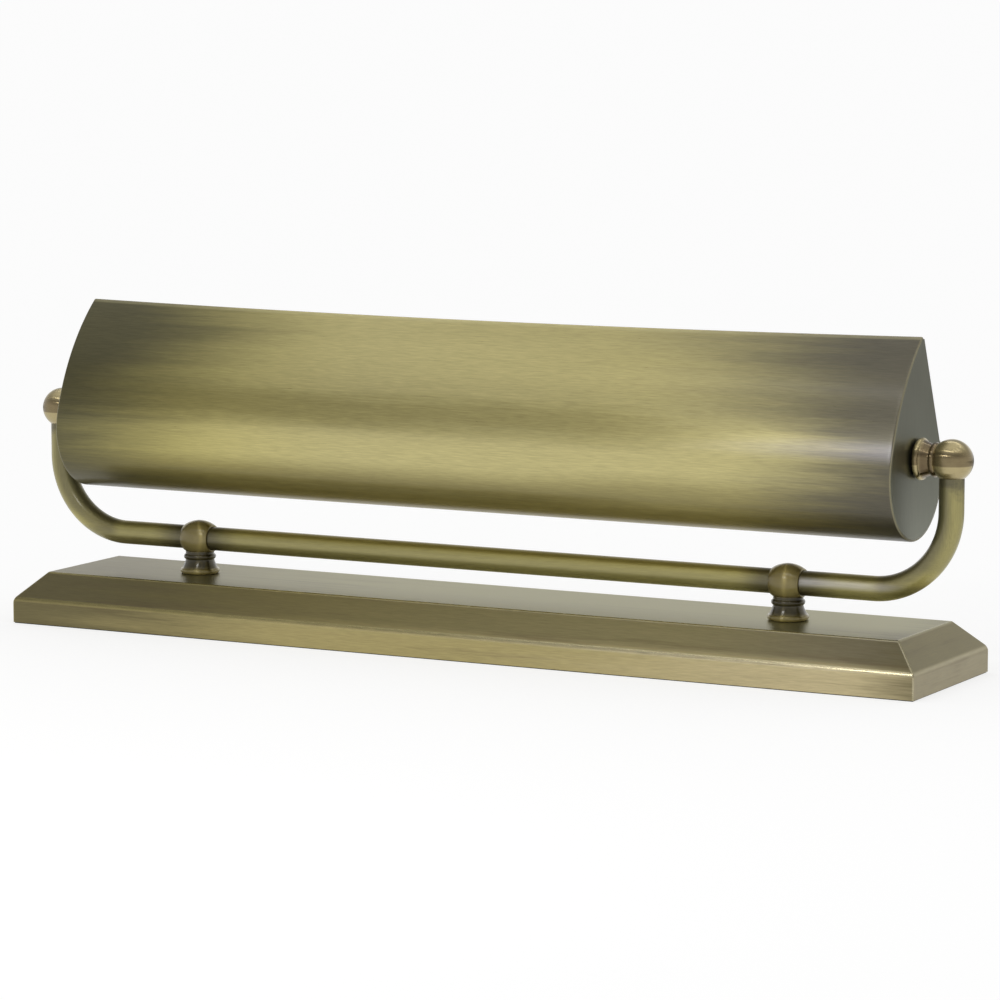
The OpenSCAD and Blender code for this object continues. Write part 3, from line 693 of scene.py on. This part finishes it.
# The posts are brown brass, painted darker still as shade for the dim surroundings they reflect
post_brass = turned_finish("post_brown_brass", tone(145, 132, 82), tone(58, 52, 31), "Z")
felt = felt_finish()
frosted = glass_finish()
porcelain = porcelain_finish()
enamel = plain_finish(
    "shade_white_enamel", tone(236, 234, 226), tone(226, 224, 214),
    metal=0.0, roughness=0.42, scale=40, contrast=1.2, relief=0.02 * mm,
).material
machined_brass = plain_finish(
    "small_parts_brass", tone(196, 178, 120), tone(150, 132, 84),
    metal=1.0, roughness=0.3, scale=250, contrast=1.2,
).material
bright_steel = plain_finish(
    "zinc_steel", tone(190, 192, 196), tone(150, 152, 158),
    metal=1.0, roughness=0.34, scale=250, contrast=1.2,
).material
cast_iron = plain_finish(
    "ballast_iron", tone(80, 80, 82), tone(54, 54, 56),
    metal=1.0, roughness=0.6, scale=150, contrast=1.4, relief=0.1 * mm,
).material
black_nylon = plain_finish(
    "black_nylon", tone(34, 34, 35), tone(24, 24, 25),
    metal=0.0, roughness=0.5, scale=300, contrast=1.2, relief=0.03 * mm,
).material
grey_fibre = plain_finish(
    "washer_fibre", tone(70, 62, 52), tone(46, 40, 34),
    metal=0.0, roughness=0.85, scale=400, contrast=1.4, relief=0.05 * mm,
).material
wire_cover = plain_finish(
    "wire_insulation", tone(216, 206, 180), tone(196, 184, 156),
    metal=0.0, roughness=0.5, scale=200, contrast=1.0,
).material


def coat(piece, *materials):
    """Gives a piece its materials."""
    piece.data.materials.clear()
    for material in materials:
        piece.data.materials.append(material)


def finish_piece(piece, body, slot, *nodes):
    """Ties a new piece to its body and hides the nodes it stands for. The slot of its finish is not used.
    """
    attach(piece, body)
    if nodes:
        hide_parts(*nodes)


# Base cover


cord_hole_r = 4.45 * mm
switch_hole_r = 3.55 * mm
stud_hole_r = stud_r + 0.1 * mm
wall_cut = 12 * mm
top_cut = 8 * mm


def make_base():
    """The cover's outside, with its sloped band and open below."""
    deselect()
    wall_height = wall_top - cover_lift
    bpy.ops.mesh.primitive_cube_add(
        size=1.0,
        location=(0, 0, cover_lift + wall_height / 2),
        scale=(2 * base_half_len, 2 * base_half_depth, wall_height),
    )
    piece = bpy.context.object
    piece.name = "base_shell"
    settle(piece, piece.location.copy())
    edit(piece)
    pick(piece, "faces", lambda face: face.normal.z > 0.5)
    draw_to((0, 0, band_step))
    bpy.ops.transform.resize(value=(
        (base_half_len - band_step) / base_half_len,
        (base_half_depth - band_step) / base_half_depth,
        1,
    ))
    pick(piece, "faces", lambda face: face.normal.z < -0.5)
    bpy.ops.mesh.delete(type="ONLY_FACE")
    pick(piece, "edges", lambda line: all(abs(v.co.z - wall_top) < 0.1 * mm for v in line.verts))
    bpy.ops.mesh.bevel(offset=shoulder_round, segments=8, profile=0.5)
    sharp = math.radians(20)
    pick(piece, "edges", lambda line: len(line.link_faces) == 2 and line.calc_face_angle() > sharp)
    bpy.ops.mesh.bevel(offset=fold_round, segments=5, profile=0.5)
    deselect()
    return piece


base_shell = make_base()
apply(base_shell, "SOLIDIFY", thickness=cover_wall, offset=-1.0, use_even_offset=True)
carve(base_shell, rod(cord_hole_r, wall_cut, (-outlet_x, base_half_depth, outlet_z), ALONG_Y))
carve(base_shell, rod(switch_hole_r, wall_cut, (outlet_x, base_half_depth, outlet_z), ALONG_Y))
for stud_x in (-post_x, post_x):
    carve(base_shell, rod(stud_hole_r, top_cut, (stud_x, 0, base_top)))
crisp(base_shell, 30)
coat(base_shell, base_brass, base_end_brass)
edit(base_shell)
pick(base_shell, "faces", lambda face: abs(face.normal.x) > max(abs(face.normal.y), 0.3))
base_shell.active_material_index = 1
bpy.ops.object.material_slot_assign()
deselect()
finish_piece(base_shell, "base", "antique_brass", "base_cover")


# Felt


def make_felt():
    low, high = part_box("felt_pad")
    deselect()
    bpy.ops.mesh.primitive_cube_add(size=1.0, location=(low + high) / 2, scale=high - low)
    piece = bpy.context.object
    piece.name = "felt_sole"
    settle(piece, piece.location.copy())
    edit(piece)
    pick(piece, "edges", lambda line: True)
    bpy.ops.mesh.bevel(offset=felt_round, segments=4, profile=0.5)
    deselect()
    return piece


def make_felt_lip():
    """The felt's edge, which runs out under the cover's walls."""
    deselect()
    bpy.ops.mesh.primitive_cube_add(
        size=1.0,
        location=(0, 0, felt_lip_t / 2 + felt_lip_lift),
        scale=(2 * (base_half_len - felt_lip_inset), 2 * (base_half_depth - felt_lip_inset), felt_lip_t),
    )
    lip = bpy.context.object
    settle(lip, lip.location.copy())
    return lip


felt_sole = make_felt()
carve(felt_sole, make_felt_lip(), "UNION")
screw_hole_r = 4.5 * mm
felt_cut = 8 * mm
pillar_places = [(x, y) for x in (-pillar_x, pillar_x) for y in (-pillar_y, pillar_y)]
ballast_places = [(-ballast_screw_x, 0), (ballast_screw_x, 0)]
for screw_x, screw_y in pillar_places + ballast_places:
    carve(felt_sole, rod(screw_hole_r, felt_cut, (screw_x, screw_y, mm)))
smooth(felt_sole, 40)
coat(felt_sole, felt)
finish_piece(felt_sole, "base", "felt", "felt_pad")


# Turned foot of posts and balls, as strokes of radius and height above its face

foot_r = 11.3 * mm
flange_r = 1.7 * mm
flange_turn = 165
cone_round = (33.28 * mm, 15.2 * mm)
groove = Vector((8.2 * mm, 8.25 * mm))
bead_r = 1.7 * mm
bead_z = 9.8 * mm
bead_ring = groove.x - math.sqrt(bead_r**2 - (bead_z - groove.y)**2)
bead_start = math.degrees(math.atan2(groove.y - bead_z, groove.x - bead_ring))


def foot_strokes(bead_end):
    """Round flange, hollow cone and a bead that ends at an angle above level."""
    flange = foot_r - flange_r
    return [
        (flange, 0),
        (flange, flange_r, flange_turn, 14),
        (*cone_round, -11.0, 8),
        tuple(groove),
        (bead_ring, bead_z, bead_end - bead_start, 14),
    ]


def make_post(name):
    """A turned foot with the fat ring that holds the tube."""
    neck_end = 13.0 * mm
    foot = turned(name, (stud_r, 0), [
        *foot_strokes(-bead_start), (groove.x, neck_end), (stud_r, neck_end), (stud_r, 0),
    ], 96)
    settle(foot, (post_x, 0, base_top))
    half = 8.7 * mm
    rim = 7.7 * mm
    bore = tube_r + 0.05 * mm
    edge = 0.35 * mm
    mouth = bore + edge * 0.3
    face = half + edge * 0.4
    ring_r = 10.2 * mm
    barrel_r = 16.39 * mm
    sweep = 2 * math.degrees(math.asin(half / barrel_r))
    ring = turned(name + "_ring", (rim, -half), [
        (ring_r - barrel_r, 0, sweep, 36),
        (rim - edge, face),
        (mouth, face),
        (bore, half),
        (bore, -half),
        (mouth, -face),
        (rim - edge, -face),
        (rim, -half),
    ], 96)
    settle(ring, (post_x, 0, bar_z), ALONG_X)
    carve(foot, rod(bore, 40 * mm, (post_x, 0, bar_z), ALONG_X, 96))
    carve(foot, ring, "UNION")
    grub_r = 1.55 * mm
    carve(foot, rod(grub_r, 10 * mm, (post_x, 10 * mm, bar_z), ALONG_Y, 32))
    return smooth(foot, 32)


post_right = make_post("post_right")
post_left = twin(post_right, "post_left")
for piece, node in ((post_right, "ring_post_right"), (post_left, "ring_post_left")):
    coat(piece, post_brass)
    finish_piece(piece, "base", "brown_brass", node)


def make_ball(name):
    """A ball on a turned foot, bored for its nipple."""
    # The bead ends where it meets the ball
    apart = math.hypot(bead_ring, ball_reach - bead_z)
    turn = math.acos((apart**2 + bead_r**2 - ball_r**2) / (2 * apart * bead_r))
    bead_end = math.atan2(ball_reach - bead_z, -bead_ring) - turn
    neck = bead_ring + bead_r * math.cos(bead_end)
    neck_end = bead_z + bead_r * math.sin(bead_end)
    start = math.degrees(math.atan2(neck_end - ball_reach, neck))
    nipple_end = 10.8 * mm
    strokes = [
        (stud_r, nipple_end),
        (stud_r, 0),
        *foot_strokes(math.degrees(bead_end)),
        (0, ball_reach, 90 - start, 40),
    ]
    piece = turned(name, (0, nipple_end), strokes, 96)
    settle(piece, (foot_face, 0, pivot_z), ALONG_X)
    carve(piece, rod(tube_r, 12 * mm, (arm_x, 0, arm_top - 6 * mm), (0, 0, 0), 96))
    return smooth(piece, 32)


knob_right = make_ball("ball_knob_right")
knob_left = twin(knob_right, "ball_knob_left")
for piece, node in ((knob_right, "ball_right"), (knob_left, "ball_left")):
    coat(piece, ball_brass)
    finish_piece(piece, "yoke", "polished_brass", node)


# Yoke tube


def make_tube():
    """The tube's outside, drawn down one arm, along the bar and up the other arm."""
    bend_start = arm_x - bend_r
    deselect()
    bpy.ops.mesh.primitive_circle_add(vertices=64, radius=tube_r, location=(-arm_x, 0, arm_top))
    piece = bpy.context.object
    piece.name = "yoke_bow"
    settle(piece, piece.location.copy())
    edit(piece)
    drop = arm_top - bar_z - bend_r
    draw_run((0, 0, -drop), 6)
    draw_arc((-bend_start, 0, bar_z + bend_r), (0, 1, 0), -90, 40)
    draw_run((2 * bend_start, 0, 0), 48)
    draw_arc((bend_start, 0, bar_z + bend_r), (0, 1, 0), -90, 40)
    draw_run((0, 0, drop), 6)
    return tidy_shell(piece)


yoke_bow = make_tube()
apply(yoke_bow, "SOLIDIFY", thickness=tube_wall, offset=-1.0)
smooth(yoke_bow, 40)
coat(yoke_bow, tube_brass)
finish_piece(yoke_bow, "yoke", "antique_brass", "yoke_tube")


# Shade, drawn about its pivot and leaned back into place

trough_centre = Vector((0, -trough_drop))
peak_reach = peak_rise + peak_trim + trough_drop
back_angle = math.degrees(math.asin(trough_r / peak_reach))
front_step = front_r - trough_r
front_up = (peak_reach**2 + front_step**2 - front_r**2) / (2 * peak_reach)
front_centre = trough_centre + Vector((math.sqrt(front_step**2 - front_up**2), front_up))
low_angle = math.degrees(math.asin(-front_up / front_step))
trough_sweep = back_angle + 180 + low_angle
lip_r = 1.5 * mm
lip_top = peak_rise - 0.45 * mm
flap = 4 * mm
end_strip = 2.6 * mm
sag_reach = 12


def side(point, x=0.0):
    """A point of the shade's outline as a point in space."""
    return (x, point[0], point[1])


def front_point(radius, height):
    """The point of an arc about the front's centre at a height, and its angle above level."""
    angle = math.asin((height - front_centre[1]) / radius)
    return front_centre + radius * Vector((-math.cos(angle), math.sin(angle))), math.degrees(angle)


def back_point(radius):
    """The point of a circle about the trough's centre where the back lip lies."""
    angle = math.radians(back_angle)
    return trough_centre + radius * Vector((math.cos(angle), math.sin(angle)))


def hem_place():
    """Where the front ends and the hem begins, its angle above level, and the hem's centre."""
    start, angle = front_point(front_r, lip_top)
    rise = math.radians(angle)
    return start, angle, start + lip_r * Vector((math.cos(rise), -math.sin(rise)))


def make_sheet():
    """The trough's outside, from its back lip round the bottom and up the front to the hem."""
    lip_start, lip_angle, hem_centre = hem_place()
    rise = math.radians(lip_angle)
    inward = Vector((math.cos(rise), -math.sin(rise)))
    down = Vector((-math.sin(rise), -math.cos(rise)))
    piece = pen("shade_trough", side(back_point(trough_r), -shade_half_len))
    draw_arc(side(trough_centre), (1, 0, 0), -trough_sweep, 72)
    draw_arc(side(front_centre), (1, 0, 0), low_angle - lip_angle, 36)
    draw_arc(side(hem_centre), (1, 0, 0), -180, 12)
    draw_to(side(flap * down))
    bpy.ops.mesh.select_all(action="SELECT")
    columns = 24
    inner_step = 2 * (shade_half_len - end_strip) / columns
    for step in [end_strip] + [inner_step] * columns + [end_strip]:
        draw_to((step, 0, 0))

    def end_flap(face):
        middle = face.calc_center_median()
        from_hem = middle.yz - hem_centre
        return (
            abs(middle.x) > shade_half_len - end_strip
            and from_hem.dot(inward + down * 0.2) > 0.05 * mm
            and from_hem.length < 6 * mm
            and (middle.yz - lip_start).dot(inward) > 1.3 * mm
        )
    # The hem's flap stops short of the end caps
    pick(piece, "faces", end_flap)
    bpy.ops.mesh.delete(type="FACE")
    # The top edge sags towards the middle of its length
    edit(piece)
    shape = bmesh.from_edit_mesh(piece.data)
    for point in shape.verts:
        arm = point.co.yz - front_centre
        angle = math.degrees(math.atan2(arm.y, -arm.x))
        on_front = arm.x < 0 and arm.y > 0
        share = min(max((angle - lip_angle + sag_reach) / sag_reach, 0), 1) if on_front else 0
        dip = edge_dip * (1 - (point.co.x / shade_half_len)**2)
        turn = share * dip / (front_r * math.cos(rise))
        point.co.y = front_centre[0] + arm.x * math.cos(turn) - arm.y * math.sin(turn)
        point.co.z = front_centre[1] + arm.x * math.sin(turn) + arm.y * math.cos(turn)
    bmesh.update_edit_mesh(piece.data)
    return tidy_shell(piece)


def round_ends(piece):
    """Rounds the sheet over at its ends, on its outside only."""
    hem = hem_place()[2]

    def outside(point):
        if abs(point.co.x) < shade_half_len - 0.01 * mm:
            return False
        return any(
            abs((point.co.yz - centre).length - radius) < 0.05 * mm
            for centre, radius in ((trough_centre, trough_r), (front_centre, front_r), (hem, lip_r))
        )
    edit(piece)
    pick(piece, "edges", lambda edge: all(outside(point) for point in edge.verts))
    bpy.ops.mesh.bevel(offset=sheet_end_round, segments=5, profile=0.5)
    deselect()


def round_edges(piece, width):
    """Rounds the sharp edges of a piece of sheet."""
    apply(piece, "BEVEL", width=width, segments=3, limit_method="ANGLE", angle_limit=math.radians(55))


shade_trough = make_sheet()
coat(shade_trough, shade_brass, enamel)
apply(
    shade_trough, "SOLIDIFY", thickness=sheet_wall, offset=-1.0,
    material_offset=1, material_offset_rim=0,
)
round_ends(shade_trough)
round_edges(shade_trough, sheet_edge_round)
settle(shade_trough, (0, 0, pivot_z), (-shade_lean, 0, 0))
smooth(shade_trough, 40)
finish_piece(shade_trough, "shade", "antique_brass", "shade_sheet")


def make_cap(name):
    """A flat end that fits inside the trough, its top cut off under the hem."""
    inset = sheet_wall + 0.05 * mm
    thick = 1.2 * mm
    bush_hole_r = 6.55 * mm
    cut = peak_rise - 0.95 * mm
    tip, tip_angle = front_point(front_r - inset, cut)
    heel = back_point(trough_r - inset)
    peak = peak_rise + peak_trim
    back_tip = Vector((heel[0] * (peak - cut) / (peak - heel[1]), cut))
    piece = pen(name, side(heel, shade_half_len - thick))
    draw_arc(side(trough_centre), (1, 0, 0), -trough_sweep, 72)
    draw_arc(side(front_centre), (1, 0, 0), low_angle - tip_angle, 36)
    draw_to(side(back_tip - tip))
    draw_to(side(heel - back_tip))
    bpy.ops.mesh.select_all(action="SELECT")
    bpy.ops.mesh.remove_doubles(threshold=merge_gap)
    bpy.ops.mesh.edge_face_add()
    draw_to((thick, 0, 0))
    tidy_shell(piece)
    settle(piece, (0, 0, pivot_z), (-shade_lean, 0, 0))
    carve(piece, rod(bush_hole_r, 10 * mm, (shade_half_len, 0, pivot_z), ALONG_X))
    round_edges(piece, cap_edge_round)
    return crisp(piece, 40)


cap_right = make_cap("shade_end_right")
cap_left = twin(cap_right, "shade_end_left")
for piece, node, outward in ((cap_right, "end_cap_right", 1), (cap_left, "end_cap_left", -1)):
    coat(piece, cap_brass, enamel)
    edit(piece)
    pick(piece, "faces", lambda face: face.normal.x * outward < -0.9)
    piece.active_material_index = 1
    bpy.ops.object.material_slot_assign()
    finish_piece(piece, "shade", "antique_brass", node)


# Sockets and bulbs


def make_socket(name):
    """Glazed porcelain holder, drawn from its back to its mouth."""
    rear = 249.9 * mm
    length = 40 * mm
    outer = 16.5 * mm
    bore = 13.55 * mm
    back = 8 * mm
    hole = stud_r + 0.05 * mm
    back_round = 2.5 * mm
    groove_depth = 0.8 * mm
    rim_round = 1.2 * mm
    mouth_round = 0.8 * mm
    strokes = [
        (outer - back_round, 0),
        (outer - back_round, back_round, 90, 8),
        (outer, 10 * mm),
        (outer - groove_depth, 11 * mm),
        (outer - groove_depth, 13 * mm),
        (outer, 14 * mm),
        (outer, length - rim_round),
        (outer - rim_round, length - rim_round, 90, 6),
        (bore + mouth_round, length),
        (bore + mouth_round, length - mouth_round, 90, 4),
        (bore, back),
        (hole, back),
        (hole, 0),
    ]
    piece = turned(name, (hole, 0), strokes)
    settle(piece, (rear, 0, pivot_z), BACK_ALONG_X)
    return smooth(piece, 40)


def make_bulb(name):
    """Tubular bulb with a drawn-in neck and a round tip."""
    neck_x = 213.9 * mm
    length = 114 * mm
    outer = 16 * mm
    neck = 12.2 * mm
    shoulder = 6.4 * mm
    glass = 0.8 * mm
    straight = 2 * mm
    lean = math.degrees(math.acos(1 - (outer - neck) / (2 * shoulder)))
    strokes = [
        (neck, straight),
        (neck + shoulder, straight, -lean, 8),
        (outer - shoulder, straight + 2 * shoulder * math.sin(math.radians(lean)), lean, 8),
        (outer, length - outer),
        (0, length - outer, 90, 24),
    ]
    piece = turned(name, (neck, 0), strokes)
    apply(piece, "SOLIDIFY", thickness=glass, offset=-1.0)
    settle(piece, (neck_x, 0, pivot_z), BACK_ALONG_X)
    return smooth(piece, 50)


socket_right = make_socket("lamp_holder_right")
socket_left = twin(socket_right, "lamp_holder_left")
bulb_right = make_bulb("bulb_right")
bulb_left = twin(bulb_right, "bulb_left")
for piece in (socket_right, socket_left):
    coat(piece, porcelain)
    finish_piece(piece, "yoke", "porcelain", "lamp_sockets")
for piece in (bulb_right, bulb_left):
    coat(piece, frosted)
    finish_piece(piece, "yoke", "frosted_glass", "bulb_glass")


# Finishes of the pieces that keep their first shape

kept = {
    machined_brass: [
        "pivot_nipples", "pivot_bushes", "screw_shells", "centre_contacts",
        "switch_neck", "switch_ring_nut", "switch_knob",
    ],
    bright_steel: [
        "bottom_plate", "cover_pillars", "plate_screws", "post_washers", "post_nuts", "post_grub_screws",
        "spring_washers", "lock_nuts", "switch_shaft", "bulb_caps",
    ],
    cast_iron: ["ballast_bar"],
    black_nylon: ["cord_bushing", "switch_body"],
    grey_fibre: ["friction_washers"],
    wire_cover: ["base_wiring", "yoke_leads"],
}
for material, names in kept.items():
    for name in names:
        coat(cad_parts[name], material)


# Floor and light


def seen_straight(nodes, links):
    """1 on rays from the camera, off gloss and through glass, 0 on the rest."""
    path = nodes.new("ShaderNodeLightPath")
    seen = path.outputs["Is Camera Ray"]
    for kind in ("Is Glossy Ray", "Is Transmission Ray"):
        most = nodes.new("ShaderNodeMath")
        most.operation = "MAXIMUM"
        links.new(seen, most.inputs[0])
        links.new(path.outputs[kind], most.inputs[1])
        seen = most.outputs[0]
    return seen


def make_floor():
    """A white floor with a glow that only the camera, gloss and glass show."""
    glow_strength = 1.16
    glow_share = 0.6
    deselect()
    bpy.ops.mesh.primitive_plane_add(size=80.0)
    floor = bpy.context.object
    floor.name = "floor"
    material = bpy.data.materials.new("floor_white")
    material.use_nodes = True
    nodes = material.node_tree.nodes
    links = material.node_tree.links
    shader = nodes["Principled BSDF"]
    shader.inputs["Base Color"].default_value = (0.86, 0.86, 0.86, 1)
    shader.inputs["Roughness"].default_value = 0.9
    shader.inputs["Specular IOR Level"].default_value = 0.0
    glow = nodes.new("ShaderNodeEmission")
    glow.inputs["Strength"].default_value = glow_strength
    share = nodes.new("ShaderNodeMath")
    share.operation = "MULTIPLY"
    share.inputs[1].default_value = glow_share
    links.new(seen_straight(nodes, links), share.inputs[0])
    mix = nodes.new("ShaderNodeMixShader")
    links.new(share.outputs[0], mix.inputs[0])
    links.new(shader.outputs[0], mix.inputs[1])
    links.new(glow.outputs[0], mix.inputs[2])
    links.new(mix.outputs[0], nodes["Material Output"].inputs["Surface"])
    floor.data.materials.append(material)


def make_world():
    """White for the camera and in metal and glass, a little dimmer as light on other surfaces."""
    dimmed = 0.8
    world = bpy.data.worlds.new("studio")
    bpy.context.scene.world = world
    world.use_nodes = True
    nodes = world.node_tree.nodes
    links = world.node_tree.links
    level = nodes.new("ShaderNodeMapRange")
    level.inputs["To Min"].default_value = dimmed
    links.new(seen_straight(nodes, links), level.inputs["Value"])
    links.new(level.outputs["Result"], nodes["Background"].inputs["Strength"])
    nodes["Background"].inputs["Color"].default_value = (1, 1, 1, 1)


def card_finish(name):
    """A black card, ready to be given its glow."""
    finish = Finish(name, metal=0.0, roughness=1.0)
    finish.set("Base Color", (0, 0, 0, 1))
    finish.set("Specular IOR Level", 0.0)
    finish.set("Emission Color", (1, 1, 1, 1))
    return finish


def hide_card(card):
    """Leaves a card to reflections alone."""
    card.visible_camera = False
    card.visible_diffuse = False
    card.visible_transmission = False
    card.visible_shadow = False


def make_high_card():
    """A grey ring round the lamp, with bright strips that draw bands along curved metal."""
    radius = 2.4

    def at(elevation):
        """The height on the ring that lies at an angle above the shade's pivot."""
        return pivot_z + radius * math.tan(math.radians(elevation))
    low = 15 * mm
    high = at(70)
    deselect()
    bpy.ops.mesh.primitive_cylinder_add(
        vertices=96, radius=radius, depth=high - low, end_fill_type="NOTHING", location=(0, 0, 0),
    )
    card = bpy.context.object
    card.name = "high_card"
    settle(card, (0, 0, (low + high) / 2))
    finish = card_finish("card_grey")
    fall = finish.span(finish.step(finish.z, at(9), at(29)), 0.0, 1.0, 1.0, 0.45)
    rise = finish.span(finish.step(finish.z, at(34), at(46)), 0.0, 1.0, 0.0, 0.28)
    rise = finish.plus(rise, finish.span(finish.step(finish.z, at(57), at(68)), 0.0, 1.0, 0.0, 0.22))
    strip = finish.band(finish.z, at(53), at(54.2), at(57.5), at(56.3))
    ahead = finish.times(finish.step(finish.x, -1.7, -1.3), finish.step(finish.y, 0.6, 0.2))
    behind = finish.step(finish.y, 0.8, 1.2)
    strength = finish.plus(finish.times(ahead, 5.0), finish.times(behind, 3.0))
    strip = finish.times(strip, strength)
    finish.set("Emission Strength", finish.plus(finish.plus(fall, rise), strip))
    coat(card, finish.material)
    hide_card(card)


def make_low_card():
    """A dark cloth on the floor behind the lamp, which gives upright metal its darker sides."""
    deselect()
    bpy.ops.mesh.primitive_grid_add(x_subdivisions=1, y_subdivisions=1, size=1.0)
    card = bpy.context.object
    card.name = "low_card"
    card.scale = (12, 6, 1)
    settle(card, (0, 3.3, 0.5 * mm))
    finish = card_finish("card_dark")
    finish.set("Emission Strength", finish.span(finish.step(finish.y, 0.3, 0.7), 0.0, 1.0, 0.9, 0.3))
    coat(card, finish.material)
    hide_card(card)


def soft_box(name, place, target, width, height, power):
    """A flat lamp that faces a target."""
    data = bpy.data.lights.new(name, "AREA")
    data.shape = "RECTANGLE"
    data.size = width
    data.size_y = height
    data.energy = power
    box = bpy.data.objects.new(name, data)
    box.location = place
    box.rotation_euler = (Vector(target) - Vector(place)).to_track_quat("-Z", "Y").to_euler()
    bpy.context.scene.collection.objects.link(box)


make_floor()
make_world()
make_high_card()
make_low_card()
soft_box(
    "window_box", place=(-0.03, -0.806, 0.595), target=(0.235, -0.03, 0.126),
    width=0.22, height=0.05, power=0.8,
)
bpy.context.scene.view_settings.view_transform = "Standard"
